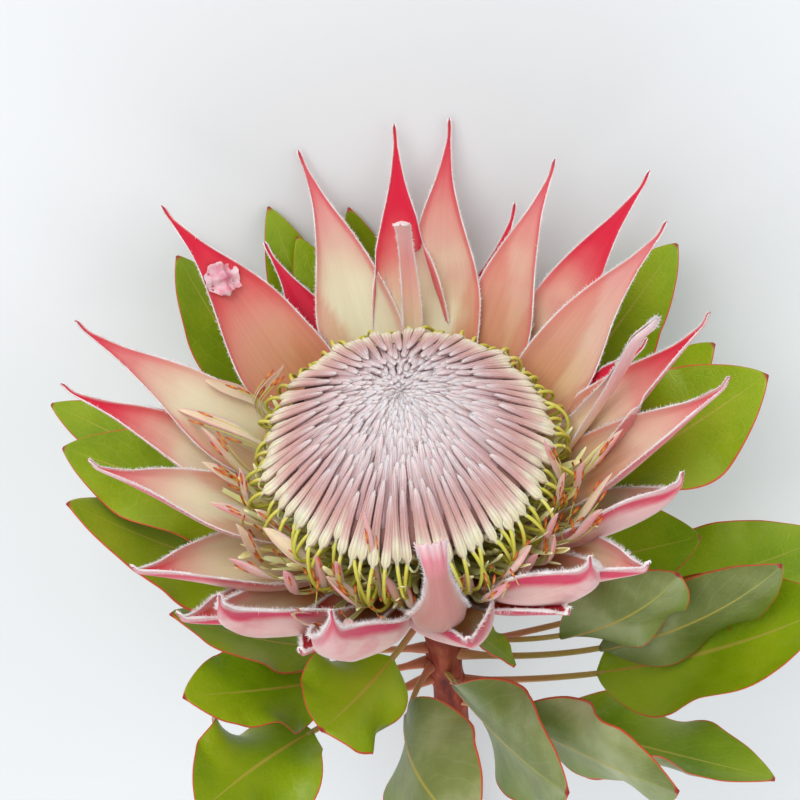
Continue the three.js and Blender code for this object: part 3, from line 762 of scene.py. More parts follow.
def build_styles(beaks):
    tubes = Piece("along", "tone")
    skirt = np.array(TUBE_PROFILE)
    tubes.tube(np.stack([ring_of(r - SKIRT_INSET, h, SKIRT_SIDES) for r, h in skirt]),
               along=-1.0, tone=0.3)
    for i in range(TUBE_COUNT):
        azimuth = TURN * (i + rng.normal(0, 0.2)) / TUBE_COUNT
        out = rng.uniform(-0.5, 1.6)
        path = [polar(r + out * k / 5, azimuth + rng.normal(0, 0.012), h)
                for k, (r, h) in enumerate(skirt)]
        radii = np.linspace(*TUBE_RADII, TUBE_STEPS)
        rings = tube_rings(curve_through(path, TUBE_STEPS), radii, 6)
        tubes.tube(rings, along=np.linspace(0, 1, TUBE_STEPS), tone=rng.uniform())
    tubes.build("floret_tubes", tube_material(), "style", "styles")
    loops = Piece("along", "tone")
    threads = Piece("along", "tone")
    for beak, azimuth in beaks:
        front = smooth(-math.sin(azimuth), -0.5, 0.7)
        wide, deep = rng.normal(0.85 + 0.25 * front, 0.22), rng.normal(0.72 + 0.3 * front, 0.2)
        add_style(loops, beak, azimuth, rng.normal(0, 0.05) / 4, wide, deep, **STYLE)
        if rng.uniform() < THREADED:
            add_style(threads, beak, azimuth, rng.normal(0, 0.05) / 3, 1, 1, **THREAD)
    loops.build("style_loops", style_material(), "style")
    threads.build("floret_threads", tube_material("floret_thread"), "style")


# Open florets


# Pairs of ribbons in the gaps between styles at the front: slot, rise at the tip, length
RIBBONS = [
    (14, 62, 46), (15, 70, 50), (16, 66, 48), (17, 72, 46), (18, 60, 52), (19, 66, 50),
    (20, 74, 46), (21, 60, 50), (23, 68, 46), (24, 72, 50), (25, 60, 52), (26, 66, 50),
    (27, 74, 48), (28, 62, 50), (29, 70, 46), (0, 64, 46), (12, 62, 44), (13, 68, 44),
]
RIBBON_SLOTS = 30
RIBBON_ROOT = (18.4, 13.6)
RIBBON_RISE = 27
RIBBON_STEPS = 18
RIBBON_RING = [(17.2, 12.3), (19.2, 12.3), (19.2, 15.3), (17.2, 15.3)]
THIN_RIBBONS = 190

# Azimuth of the gap in front, where the thin ribbons stay short and low
FRONT_GAP = 266

STRAP_SECTION = np.array([
    (-1, 0.72), (-0.86, 0.18), (-0.45, -0.3), (0, -0.44), (0.45, -0.3), (0.86, 0.18),
    (1, 0.72), (0.72, 0.26), (0.4, -0.08), (0, -0.2), (-0.4, -0.08), (-0.72, 0.26),
])
STRAP_INNER = np.repeat([0.0, 1.0], [7, 5])

# Half width along a boat-shaped floret, from its root to its tip, and along a plain ribbon
BOAT = ([0, 0.35, 0.64, 0.7, 0.8, 0.91, 0.975, 1], [0.6, 0.8, 0.85, 1.35, 2.1, 1.75, 0.8, 0.12])
BOAT_STEPS = 28
BOAT_RAISED = np.array([0, 0, 3.0])
BOAT_LONGER = 1.15
BOAT_WIDER = 1.05
BOAT_HAIRS = 70
BOAT_HAIR = 0.035
RIBBON = ([0, 0.4, 0.8, 0.95, 1], [0.7, 1.0, 1.0, 0.8, 0.3])

# An anther: the radius of its stalk and of its point, and what its pollen sac has more
ANTHER_STEPS = 26
STALK_RADIUS = 0.17
ANTHER_POINT = 0.08
SAC_SWELL = 0.2
LOOSE_ANTHERS = 46


def add_strap(straps, s, line, side, normal, wide, deep, boat=0.0):
    rings = strap_rings(STRAP_SECTION, line, side, normal, wide, deep)
    straps.tube(rings, along=s, tone=rng.uniform(), boat=boat,
                inner=np.broadcast_to(STRAP_INNER, rings.shape[:2]))


def add_ribbon(straps, azimuth, rise0, rise1, length, size, sway, roll):
    s = np.linspace(0, 1, RIBBON_STEPS)
    line, _, side, normal = midrib(azimuth, *RIBBON_ROOT, length, rise0, rise1, sway, 0, roll, s)
    wide = np.interp(s, *RIBBON) * size
    curve = (rng.uniform(0.4, 1.3) * np.sin(rng.uniform(4, 8) * s + rng.uniform(0, TURN))
             * smooth(s, 0.1, 0.5))
    add_strap(straps, s, line + curve[:, None] * side, side, normal, wide, wide * 0.3)


def add_boat(straps, hairs, foot, end, size):
    """An open floret: a ribbon from the root to the foot, and its boat-shaped tip from there."""
    azimuth = math.atan2(foot[1], foot[0])
    root = polar(RIBBON_ROOT[0], azimuth, RIBBON_ROOT[1])
    foot = foot + BOAT_RAISED
    end = foot + BOAT_LONGER * (end + BOAT_RAISED - foot)
    knee = root * 0.42 + foot * 0.58 - BOAT_RAISED
    s = np.linspace(0, 1, BOAT_STEPS)
    line = curve_through([root, knee, foot, end], BOAT_STEPS)
    along = unit(np.gradient(line, axis=0))
    facing = np.array([-math.cos(azimuth), -math.sin(azimuth), 1.1])
    side = unit(np.cross(along, facing))
    normal = np.cross(side, along)
    roll = rng.normal(0, 0.5) * smooth(s, 0.4, 0.8)[:, None]
    side, normal = (side * np.cos(roll) + normal * np.sin(roll),
                    normal * np.cos(roll) - side * np.sin(roll))
    wide = np.interp(s, *BOAT) * size * BOAT_WIDER
    deep = wide * (0.3 + 0.7 * smooth(s, 0.6, 0.8))
    add_strap(straps, s, line, side, normal, wide, deep, 1.0)
    at = rng.uniform(0.68, 1.0, BOAT_HAIRS)
    lane = rng.uniform(-1, 1, BOAT_HAIRS)
    roots, sides, normals, ahead = (rows_at(at, s, rows) for rows in (line, side, normal, along))
    reach = np.interp(at, s, wide)
    roots = (roots + sides * (reach * lane)[:, None]
             + normals * (reach * (lane ** 2 - 0.44))[:, None])
    ways = (ahead * 0.6 + sides * lane[:, None] - 0.3 * normals
            + rng.normal(size=(BOAT_HAIRS, 3)) * 0.4)
    add_hairs(hairs, roots, ways, rng.uniform(0.25, 0.7, BOAT_HAIRS), BOAT_HAIR)
    return line


def add_anther(anthers, path):
    """A pollen sac on a thin stalk that follows an open floret."""
    shift = rng.normal(size=3) * 1.1 + [0, 0, 0.6]
    line = path[10:] + shift * np.linspace(0.3, 1.3, len(path) - 10)[:, None]
    line = curve_through(line[:int(rng.integers(13, 19)):3], ANTHER_STEPS)
    reach = np.concatenate([[0], np.cumsum(np.linalg.norm(np.diff(line, axis=0), axis=1))])
    sac = rng.uniform(4.2, 5.6)
    share = (reach - reach[-1] + sac) / sac
    sac_radii = STALK_RADIUS + SAC_SWELL * np.sin(math.pi * np.clip(share, 0, 1)) ** 0.5
    radii = np.where(share < 0, STALK_RADIUS, sac_radii)
    radii = np.where(share > 0.98, ANTHER_POINT, radii)
    anthers.tube(tube_rings(line, radii, 6), along=share, tone=rng.uniform())


# Open florets that stand out: azimuth, radius and height of the foot of the boat-shaped tip and of
# its end, and its size
BOATS = [
    (195, 48, 34, 191, 59, 44, 1.1), (223, 45, 34, 207, 49, 42, 1.2),
    (207, 52, 28, 202, 56, 44, 0.8), (223, 52, 28, 222, 54, 40, 0.9),
    (230, 46, 28, 228, 46, 42, 0.8), (245, 47, 28, 235, 48, 38, 1.1),
    (186, 49, 34, 184, 50, 48, 0.7), (159, 49, 36, 160, 69, 46, 1.0),
    (171, 51, 34, 166, 61, 46, 0.7), (144, 55, 36, 149, 66, 46, 1.0),
    (147, 53, 38, 141, 45, 54, 0.5), (251, 43, 30, 247, 38, 58, 0.6),
    (258, 43, 26, 254, 44, 40, 0.9), (339, 46, 38, 337, 43, 58, 0.6),
    (338, 50, 36, 338, 53, 50, 0.7), (331, 46, 36, 332, 49, 50, 0.7),
    (316, 47, 30, 319, 52, 46, 0.8), (314, 50, 28, 317, 52, 38, 1.3),
    (299, 46, 28, 305, 52, 44, 1.1), (289, 48, 26, 295, 53, 36, 1.2),
    (329, 52, 30, 336, 61, 48, 0.6), (285, 44, 26, 284, 46, 38, 0.8),
    (264, 45, 26, 262, 44, 36, 0.7), (207, 40, 30, 198, 48, 42, 0.9),
    (237, 45, 28, 237, 46, 44, 0.7), (304, 48, 28, 308, 52, 38, 0.9),
    (214, 54, 30, 208, 62, 40, 0.9), (323, 54, 32, 326, 62, 46, 0.9),
    (346, 52, 36, 350, 62, 50, 0.8), (178, 50, 34, 176, 60, 44, 0.8),
    (232, 54, 24, 229, 60, 32, 0.9), (241, 52, 24, 246, 56, 32, 0.8),
]


def build_open_florets():
    straps = Piece("along", "tone", "boat", "inner")
    hairs = Piece()
    anthers = Piece("along", "tone")
    straps.tube(np.stack([ring_of(r, h, CORE_SIDES) for r, h in RIBBON_RING]), along=0.0, tone=0.5)
    for slot, rise, length in RIBBONS:
        azimuth = 360 * (slot + 0.5) / RIBBON_SLOTS
        for aside in (-3.2, 3.2):
            add_ribbon(straps, azimuth + aside + rng.normal(0, 0.8), RIBBON_RISE,
                       rise + rng.normal(0, 4), length * rng.uniform(0.85, 1.0), 1.0,
                       rng.normal(0, 3), rng.normal(0, 30))
    for i in range(THIN_RIBBONS):
        turn = 360 * (i + rng.uniform(-0.4, 0.4)) / THIN_RIBBONS
        far = smooth(math.sin(math.radians(turn)), -0.35, 0.2)
        gap = smooth(abs(turn - FRONT_GAP), 50, 34)
        low = rng.uniform(14 + 12 * gap, 34)
        add_ribbon(straps, turn, low, low + rng.uniform(2, 36) * (1 - 0.5 * far),
                   rng.uniform(32, 50 - 12 * gap - 9 * far), rng.uniform(0.8, 1.3),
                   rng.normal(0, 7 - 4 * gap), rng.normal(0, 40))
    for turn0, radius0, height0, turn1, radius1, height1, size in BOATS:
        path = add_boat(straps, hairs, polar(radius0, math.radians(turn0), height0),
                        polar(radius1, math.radians(turn1), height1), size)
        for _ in range(rng.integers(3, 6)):
            add_anther(anthers, path)
    for _ in range(LOOSE_ANTHERS):
        turn = math.radians(rng.choice([rng.uniform(190, 262), rng.uniform(284, 352)]))
        radius, height = rng.uniform(45, 55), rng.uniform(30, 40)
        foot = polar(radius, turn, height)
        way = polar(rng.uniform(-3, 6), turn, 9) + rng.normal(size=3) * 2.5
        points = [foot - way - [0, 0, 4], foot - way * 0.3, foot + way * 0.4, foot + way]
        add_anther(anthers, curve_through(points, BOAT_STEPS))
    straps.build("open_floret_straps", strap_material(), "ribbon", "open_florets")
    hairs.build("open_floret_hairs", hair_material("open_floret_hair", *VELVET), "ribbon")
    anthers.build("anthers", anther_material(), "ribbon")


# Leaves


LEAF_STEPS = 52
LEAF_ACROSS = 25

# Half width of a leaf's rib, the thickness at the margin, what the blade has more, and the rib
LEAF_RIB = 1.1
LEAF_THIN = 0.45
LEAF_BODY = 0.45
LEAF_KEEL = 1.3

PETIOLE_SIDES = 14
PETIOLE_FLAT = 0.82


def leaf_half(width, share):
    outline = np.sin(math.pi * share ** 0.9) ** 0.75
    petiole = 2 * PETIOLE_RADIUS * (1 - share)
    return np.maximum(0.35, np.maximum(petiole, width * outline) / 2)


def leaf_curl(leaf, share, v):
    side = np.where(v > 0, leaf.left, leaf.right)
    lag = np.where(v > 0, 0.0, 0.35)
    fold = np.sin(math.pi * (0.25 + 0.6 * share))
    swell = np.sin(math.pi * np.minimum(1, 0.1 + 1.3 * share))
    wave = np.sin(TURN * (leaf.waves * share + leaf.phase + lag))
    return np.radians(side * fold + leaf.angle * swell * wave)


def leaf_rib(leaf, s):
    return midrib(leaf.azimuth, 0, leaf.height, leaf.petiole + leaf.blade, leaf.rise0, leaf.rise1,
                  leaf.sway, leaf.roll0, leaf.roll1, s)


def build_leaf(leaf, material):
    first = leaf.petiole / (leaf.petiole + leaf.blade)
    share = np.linspace(0, 1, LEAF_STEPS)
    row = share[:, None]
    v = columns(LEAF_ACROSS)
    hand = np.sign(v)
    half = leaf_half(leaf.width, row)
    across, inward = section(half, leaf_curl(leaf, row, v), v)
    body = np.sin(math.pi * np.clip(row * 0.96 + 0.02, 0, 1))
    phase = rng.uniform(0, TURN, 2)
    ripple = (0.5 * np.sin(17 * row + phase[0] + hand)
              + 0.3 * np.sin(31 * row + phase[1] - 2 * hand))
    veins = np.sin(TURN * (11 * row - 3.2 * np.abs(v))) * np.clip(np.abs(v) * 4, 0, 1)
    keel = np.exp(-(v * half / LEAF_RIB) ** 2) * (1 - 0.7 * row)
    inward = inward + ripple * body * np.abs(v) ** 2.5 + 0.05 * veins * body - 0.45 * keel
    thickness = LEAF_THIN + LEAF_BODY * (1 - np.abs(v) ** 4) + LEAF_KEEL * keel
    rings, _ = closed_blade(leaf_rib(leaf, first + (1 - first) * share), across, inward,
                            thickness)
    tone = rng.uniform()
    piece = Piece("along", "across", "inner", "tone", "stalk")
    piece.tube(rings, along=share, tone=tone, **face_numbers(v, LEAF_STEPS))
    stations = np.linspace(0.03, 1.05, 26)
    path, _, side, normal = leaf_rib(leaf, first * stations)
    radii = (PETIOLE_RADIUS * (1.2 - 0.3 * stations)
             * (1 + 0.7 * (1 - smooth(stations, 0.1, 0.32))))
    piece.tube(round_rings(path, radii, PETIOLE_SIDES, side, normal, PETIOLE_FLAT),
               along=stations, tone=tone, stalk=1.0)
    piece.build(leaf.name + "_blade", material, "leaf", leaf.name)


# Stem


STEM_SIDES = 36
LEAF_BASE = 2.6


def stem_centre(height):
    share = np.maximum(0, -height) / STEM_LENGTH
    return STEM_BEND * np.sin(math.pi * share * 1.5)


def build_stem():
    piece = Piece("along", "cut", "tone")
    heights = np.concatenate([np.linspace(-STEM_LENGTH, -10, 90), np.linspace(-8, STEM_TOP, 10)])
    rows = heights[:, None]
    angle = TURN * np.arange(STEM_SIDES) / STEM_SIDES
    swell = 0.18 * np.sin(heights / 9.0) + 0.12 * np.sin(heights / 3.7 + 1)
    radius = STEM_RADIUS + swell + (COLLAR_RADIUS - STEM_RADIUS) * smooth(heights, -8, STEM_TOP)
    ridged = radius[:, None] * (1 + 0.012 * np.sin(5 * angle + rows / 17)
                                + 0.008 * np.sin(11 * angle - rows / 23))
    for leaf in LEAVES:
        gap = np.angle(np.exp(1j * (angle - math.radians(leaf.azimuth))))[None, :]
        ridged = ridged + np.exp(-(gap * STEM_RADIUS / LEAF_BASE) ** 2
                                 - ((rows - leaf.height + 1) / 3.0) ** 2)
    rings = polar(ridged, angle[None, :], rows)
    rings[..., 0] += stem_centre(heights)[:, None]
    slope = CUT_SLOPE * rings[0, :, 0]
    rings[:5, :, 2] += slope * np.array([1, 0.8, 0.6, 0.4, 0.2])[:, None]
    piece.tube(rings, along=(heights + STEM_LENGTH) / STEM_LENGTH, tone=0.5)
    centre = rings[0].mean(0)
    disc = np.stack([centre + (rings[0] - centre) * k + [0, 0, -0.05 - 0.2 * (1 - k)]
                     for k in (0.02, 0.2, 0.45, 0.7, 0.9, 0.985)])
    faces = ring_quads(len(disc), STEM_SIDES) + [np.arange(STEM_SIDES)[::-1]]
    piece.add(disc[:, ::-1], faces, cut=1.0,
              along=np.repeat(np.linspace(0, 1, len(disc)), STEM_SIDES))
    piece.build("stem_bark", stem_material(), "stem", "stem")


# Materials


def rgb(red, green, blue):
    """A colour as seen on a screen, 0 to 255, made linear."""
    def linear(value):
        value = value / 255
        return value / 12.92 if value <= 0.04045 else ((value + 0.055) / 1.055) ** 2.4
    return (linear(red), linear(green), linear(blue), 1.0)


class Value:
    """A number or colour out of a node; arithmetic on it makes Math nodes."""

    def __init__(self, shade, socket):
        self.shade = shade
        self.socket = socket

    def __add__(self, other):
        return self.shade.maths("ADD", self, other)

    def __sub__(self, other):
        return self.shade.maths("SUBTRACT", self, other)

    def __rsub__(self, other):
        return self.shade.maths("SUBTRACT", other, self)

    def __mul__(self, other):
        return self.shade.maths("MULTIPLY", self, other)

    def __pow__(self, other):
        return self.shade.maths("POWER", self, other)

    def __abs__(self):
        return self.shade.maths("ABSOLUTE", self)

    def step(self, low, high):
        """0 at low, 1 at high, and a smooth step between."""
        return self.shade.node("ShaderNodeMapRange", {0: self, 1: low, 2: high},
                               interpolation_type="SMOOTHSTEP")

    def ramp(self, *stops):
        """Colours by this number; each stop is its position and its colour."""
        value = self.shade.node("ShaderNodeValToRGB", {0: self})
        elements = value.socket.node.color_ramp.elements
        while len(elements) < len(stops):
            elements.new(0.5)
        for element, (position, *colour) in zip(elements, stops):
            element.position = position
            element.color = rgb(*colour)
        return value

    def coats(self, *coats):
        """Colours laid over this one in turn; each coat is how much of it, and its colour."""
        base = self
        for share, colour in coats:
            base = self.shade.mix(share, base, colour)
        return base


class Shade:
    """A material's nodes, with short names for the kinds used here. Colours are 0 to 255.

    Soft and deep say how much light goes into the surface, and how deep in metres.
    """

    def __init__(self, name, roughness, soft=0.0, deep=0.001, **sockets):
        self.material = bpy.data.materials.new(name)
        self.material.use_nodes = True
        self.tree = self.material.node_tree
        self.surface = self.tree.nodes["Principled BSDF"]
        sockets.update(Roughness=roughness, Subsurface_Weight=soft, Subsurface_Scale=deep)
        for socket, value in sockets.items():
            self.surface.inputs[socket.replace("_", " ")].default_value = value

    def feed(self, socket, value):
        if isinstance(value, Value):
            self.tree.links.new(value.socket, socket)
        else:
            socket.default_value = value

    def node(self, kind, inputs, output=0, **settings):
        """A node with its inputs by number or name."""
        node = self.tree.nodes.new(kind)
        for name, value in settings.items():
            setattr(node, name, value)
        for key, value in inputs.items():
            self.feed(node.inputs[key], value)
        return Value(self, node.outputs[output])

    def numbers(self, *names):
        """Numbers that the mesh carries at its points."""
        return [self.node("ShaderNodeAttribute", {}, "Fac", attribute_name=name)
                for name in names]

    def maths(self, operation, *inputs):
        return self.node("ShaderNodeMath", dict(enumerate(inputs)), operation=operation)

    def place(self):
        return self.node("ShaderNodeTexCoord", {}, "Object")

    def noise(self, scale, detail, vector=None):
        return self.node("ShaderNodeTexNoise", {
            "Vector": vector or self.place(), "Scale": scale, "Detail": detail}, "Fac")

    def streaks(self, along, across, apart):
        """Noise drawn out along a piece, other on each."""
        place = self.node("ShaderNodeCombineXYZ", {0: along, 1: across, 2: apart})
        return self.noise(1.0, 3, place)

    def mix(self, share, first, second, blend="MIX"):
        first, second = (colour if isinstance(colour, Value) else rgb(*colour)
                         for colour in (first, second))
        return self.node("ShaderNodeMix", {0: share, 6: first, 7: second}, 2,
                         data_type="RGBA", blend_type=blend)

    def finish(self, colour, height=None, distance=0.0, strength=1.0):
        """The base colour, and a bump from a height, so far out in metres."""
        self.feed(self.surface.inputs["Base Color"], colour)
        if height:
            bump = self.node("ShaderNodeBump", {
                "Strength": strength, "Distance": distance, "Height": height})
            self.feed(self.surface.inputs["Normal"], bump)
        return self.material


def scrap_material():
    shade = Shade("petal_scrap", 0.6, 0.4, 0.002)
    along, = shade.numbers("along")
    return shade.finish((shade.noise(220, 3) * 0.85 + along * 0.12).ramp(
        (0.35, 224, 124, 146), (0.6, 246, 204, 208)))


def bract_material():
    shade = Shade("bract_silk", 0.55, 0.3, 0.003, Subsurface_Radius=(1.0, 0.5, 0.35),
                  Specular_IOR_Level=0.35, Sheen_Weight=0.4, Sheen_Roughness=0.4)
    along, across, inward, cover, margin, blunt, pale, flush, warm, tone, strength = shade.numbers(
        "along", "across", "inner", "cover", "margin", "blunt", "pale", "flush", "warm", "tone",
        "band")
    edge = abs(across)
    mottle = shade.noise(55, 3)
    streak = shade.streaks(along * 3.0, across * 22.0, tone * 40.0)
    place = along + (mottle - 0.5) * 0.14 + edge ** 3.0 * 0.08
    # The crimson band along the margins
    wave = mottle * 2.2 + (margin - 1.1)
    band = margin.step(0.25, 0.7) * wave.step(2.8, 1.0) * along.step(0.3, 0.6) * strength
    # The inner face, from its root to its tip. Painted shade makes it warmer and darker where
    # another bract lies under it, and dims its cream patches there; the cream patches are partly
    # the bract's own pale colour and partly painted light let through where one bract lies alone.
    # Both ramps turn brown towards the root: painted shade under the dome.
    inner = place.ramp((0.0, 116, 84, 36), (0.16, 176, 120, 60), (0.32, 200, 148, 94),
                       (0.46, 218, 184, 144), (0.6, 222, 188, 168), (0.74, 224, 174, 160),
                       (0.88, 228, 152, 152), (1.0, 222, 110, 124))
    # Warmer, darker colours: painted shade where another bract lies under, and the own warmer tone
    # of some bracts
    warm_and_shaded = place.ramp((0.0, 96, 66, 30), (0.2, 176, 108, 56), (0.42, 200, 130, 88),
                        (0.62, 216, 142, 118), (0.8, 222, 118, 112), (0.95, 220, 74, 92))
    middle = place.step(0.28, 0.42) * place.step(0.8, 0.56)
    patches = (warm * -0.25 + shade.noise(30, 2)).step(0.44, 0.62)
    inner = inner.coats(
        (cover * 0.62 + 0.06, warm_and_shaded),
        (shade.maths("MAXIMUM", warm * 0.8, 0.0), warm_and_shaded),
        (middle * (patches * (cover * -0.5 + 0.85)), (236, 230, 196)),
        # Coral towards the margins: painted shade where neighbouring bracts overlap.
        ((streak * 0.4 + edge * 0.7).step(0.45, 1.0) * 0.24, (230, 124, 114)))
    inner = shade.mix(1.0, inner, (250, 248, 248), "MULTIPLY")
    inner = inner.coats(
        ((flush * 0.62 + place).step(0.79, 1.15), (212, 14, 56)),
        (band * 0.75, (214, 44, 78)))
    # The outer face, and the brown and pink one of a blunt bract
    outer = place.ramp((0.0, 120, 112, 60), (0.12, 186, 146, 108), (0.3, 206, 158, 138),
                       (0.55, 214, 176, 168), (0.85, 220, 172, 172), (1.0, 196, 60, 90))
    crown = along.ramp((0.3, 156, 96, 76), (0.6, 170, 108, 96), (0.88, 184, 122, 118),
                       (0.95, 222, 138, 150), (1.0, 242, 206, 210))
    outer = outer.coats(
        (shade.noise(110, 4).step(0.42, 0.66) * 0.6, (206, 126, 134)),
        (mottle.step(0.5, 0.75) * 0.4, (234, 206, 202)),
        (flush.step(0.5, 0.8) * 0.8, (176, 34, 52)),
        (band, (206, 46, 86)),
        (blunt, crown))
    # Both faces, the pale narrow bracts, a white margin and a dark point
    light = along.ramp((0.3, 232, 206, 158), (0.5, 240, 212, 182), (0.75, 244, 176, 174),
                       (0.97, 250, 206, 208))
    base = shade.mix(inward, outer, inner).coats(
        (pale, light),
        (margin.step(0.6, 0.15) * 0.45, (246, 224, 224)),
        (along.step(0.97, 1.0) * (0.8 - blunt), (150, 14, 44)))
    fibres = streak.ramp((0.3, 120, 60, 50), (0.7, 255, 240, 225))
    return shade.finish(shade.mix(0.11, base, fibres, "SOFT_LIGHT"),
                        streak + shade.noise(260, 3), 0.0003, 0.35)


# Hair materials: roughness, the size of their noise, and its two colours
SILK = (0.5, 400, (248, 226, 226), (255, 250, 248))
VELVET = (0.6, 300, (230, 206, 206), (248, 240, 240))


def hair_material(name, roughness, scale, dark, light):
    shade = Shade(name, roughness, 0.2, 0.001)
    return shade.finish(shade.noise(scale, 1).ramp((0.2, *dark), (0.8, *light)))


def floret_material():
    shade = Shade("floret_velvet", 0.8, 0.2, 0.0015, Sheen_Weight=0.4, Sheen_Roughness=0.4)
    along, radius, ridge, tone, rim = shade.numbers("along", "radius", "across", "tone", "rim")
    streak = shade.streaks(along * 5.0, ridge * 4.0, tone * 60.0)
    place = along + (streak - 0.5) * 0.16
    plain = place.ramp((0.0, 190, 148, 150), (0.5, 206, 172, 172), (0.8, 224, 200, 202),
                       (0.97, 240, 228, 228))
    outer = place.ramp((0.0, 228, 222, 186), (0.08, 234, 226, 200), (0.22, 220, 190, 176),
                       (0.42, 208, 162, 154), (0.66, 206, 168, 166), (0.84, 220, 194, 194),
                       (0.97, 240, 226, 224))
    # The core under the limbs, darker pink-brown towards the rim: painted shade in the gaps between
    # limbs.
    gap_shade = (radius * 0.025).ramp((0.1, 204, 180, 182), (0.5, 168, 120, 118), (1.0, 138, 96, 86))
    body = shade.mix(rim, plain, outer).coats(
        (radius.step(24.0, 3.0) * 0.85, (244, 234, 235)),
        # Deeper pink in the grooves, on the flanks and underneath: painted shade.
        (ridge.step(0.75, 0.3) * 0.4, (172, 112, 112)),
        (streak.step(0.55, 0.8) * 0.25, (232, 214, 206)),
        (along.step(-0.2, -0.6), gap_shade))
    return shade.finish(body, shade.noise(900, 2) + streak * 1.5, 0.00035, 0.6)


def tube_material(name="floret_tube"):
    shade = Shade(name, 0.55, 0.3, 0.002)
    along, tone = shade.numbers("along", "tone")
    body = (along + tone * 0.2).ramp((0.0, 160, 148, 70), (0.3, 222, 218, 156),
                                     (0.8, 240, 238, 206))
    # The skirt inside the tubes, dark olive: painted shade between the tubes.
    return shade.finish(shade.mix(along.step(-0.2, -0.6), body, (124, 106, 50)),
                        shade.noise(500, 2), 0.0002, 0.5)


def style_material():
    shade = Shade("style", 0.38, 0.25, 0.001)
    along, tone = shade.numbers("along", "tone")
    body = (along + tone * 0.25).ramp((0.0, 222, 214, 140), (0.25, 206, 202, 84),
                                      (1.0, 180, 180, 58))
    return shade.finish(body, shade.noise(700, 2), 0.0001, 0.4)


def strap_material():
    shade = Shade("open_floret", 0.6, 0.3, 0.0015, Sheen_Weight=0.3)
    along, tone, boat, inner = shade.numbers("along", "tone", "boat", "inner")
    place = along + (tone - 0.5) * 0.16
    green = place.ramp((0.0, 190, 172, 56), (0.25, 230, 218, 88), (0.55, 244, 236, 130),
                       (1.0, 250, 242, 178))
    pink = place.ramp((0.3, 196, 192, 110), (0.58, 238, 228, 186), (0.70, 240, 212, 194),
                      (0.86, 236, 182, 178), (1.0, 228, 150, 158))
    pink = shade.mix(inner * along.step(0.55, 0.7), pink, (234, 210, 180))
    body = green.coats(
        (boat, pink),
        (shade.noise(420, 3).step(0.5, 0.75) * 0.15, (244, 230, 200)))
    return shade.finish(body, shade.noise(600, 2), 0.0003, 0.6)


def anther_material():
    shade = Shade("anther", 0.45, 0.15, 0.001)
    along, = shade.numbers("along")
    body = (along * 0.5 + 0.5).ramp(
        (0.0, 206, 206, 120), (0.46, 206, 200, 96), (0.51, 160, 30, 18), (0.58, 206, 92, 38),
        (0.72, 228, 156, 68), (0.9, 206, 80, 34), (1.0, 130, 16, 16))
    return shade.finish(body, shade.noise(800, 2), 0.0002, 0.4)


def leaf_material():
    shade = Shade("leaf", 0.38, 0.12, 0.002, Specular_IOR_Level=0.32)
    along, across, upward, tone, stalk = shade.numbers("along", "across", "inner", "tone", "stalk")
    edge = abs(across)
    patch = shade.noise(34, 4)
    net = shade.node("ShaderNodeTexVoronoi", {"Vector": shade.place(), "Scale": 420},
                     feature="DISTANCE_TO_EDGE")
    cells = net.step(0.0, 0.12)
    slant = shade.noise(60, 2) * 1.6 + (edge * -2.6 + along * 8.0)
    vein = shade.maths("SINE", slant * TURN).step(0.9, 1.0) * edge.step(0.0, 0.15)
    upper = patch.ramp((0.25, 110, 148, 0), (0.5, 144, 173, 7), (0.8, 176, 192, 36)).coats(
        (tone * 0.35, (86, 104, 10)),
        (vein * 0.09, (176, 184, 78)),
        ((1.0 - cells) * 0.08, (180, 182, 80)))
    # The underside's silvery patches: partly its own grey-green, partly painted sheen.
    under = patch.ramp((0.3, 104, 116, 52), (0.5, 134, 146, 84), (0.72, 182, 188, 144)).coats(
        (vein * 0.08, (190, 196, 156)),
        (across.step(0.25, 0.95) * 0.6, (118, 140, 48)),
        (along.step(0.38, 0.0) * 0.75, (84, 100, 34)))
    dots = shade.node("ShaderNodeTexVoronoi", {"Vector": shade.place(), "Scale": 34}, "Distance")
    rib = edge.step(along * -0.03 + 0.05, 0.01)
    ribs = along.ramp((0.0, 206, 132, 66), (0.4, 196, 172, 76), (1.0, 160, 170, 60))
    stem = (tone * 0.5 + along).ramp((0.1, 150, 66, 44), (0.5, 196, 124, 92), (1.1, 178, 150, 80))
    body = shade.mix(upward, under, upper).coats(
        (dots.step(0.05, 0.025), (170, 104, 30)),
        (rib * 0.8, ribs),
        (edge.step(0.962, 0.988), (202, 84, 50)),
        (along.step(0.98, 1.0), (150, 40, 32)),
        (stalk, stem))
    return shade.finish(body, cells * 0.4 + shade.noise(300, 3), 0.0002, 0.5)


def stem_material():
    shade = Shade("bark", 0.75, 0.05, 0.001, Specular_IOR_Level=0.25)
    along, cut = shade.numbers("along", "cut")
    stretched = shade.node("ShaderNodeMapping", {
        "Vector": shade.place(), "Scale": (1, 0.12, 1)})
    streak = shade.noise(320, 4, stretched)
    bark = streak.ramp((0.25, 82, 22, 12), (0.5, 130, 46, 28), (0.78, 166, 82, 54))
    bark = shade.mix(shade.noise(60, 3).step(0.5, 0.75) * 0.3, bark, (140, 98, 56))
    rings = shade.maths("SINE", along * 20.0)
    wood = (rings * 0.15 + shade.noise(300, 3)).ramp((0.2, 176, 150, 96), (0.7, 226, 212, 164))
    return shade.finish(shade.mix(cut, bark, wood), streak, 0.0005, 0.7)


def floor_material():
    shade = Shade("floor_pale", 0.8)
    return shade.finish(shade.noise(3, 2).ramp((0.3, 229, 232, 233), (0.7, 233, 235, 236)))


# Laying down: the same turn as in the model, and the shift that puts the stem in its place


def tip_of(name):
    return bract_rib(bract_named(name), np.array([1.0]))[0][0]


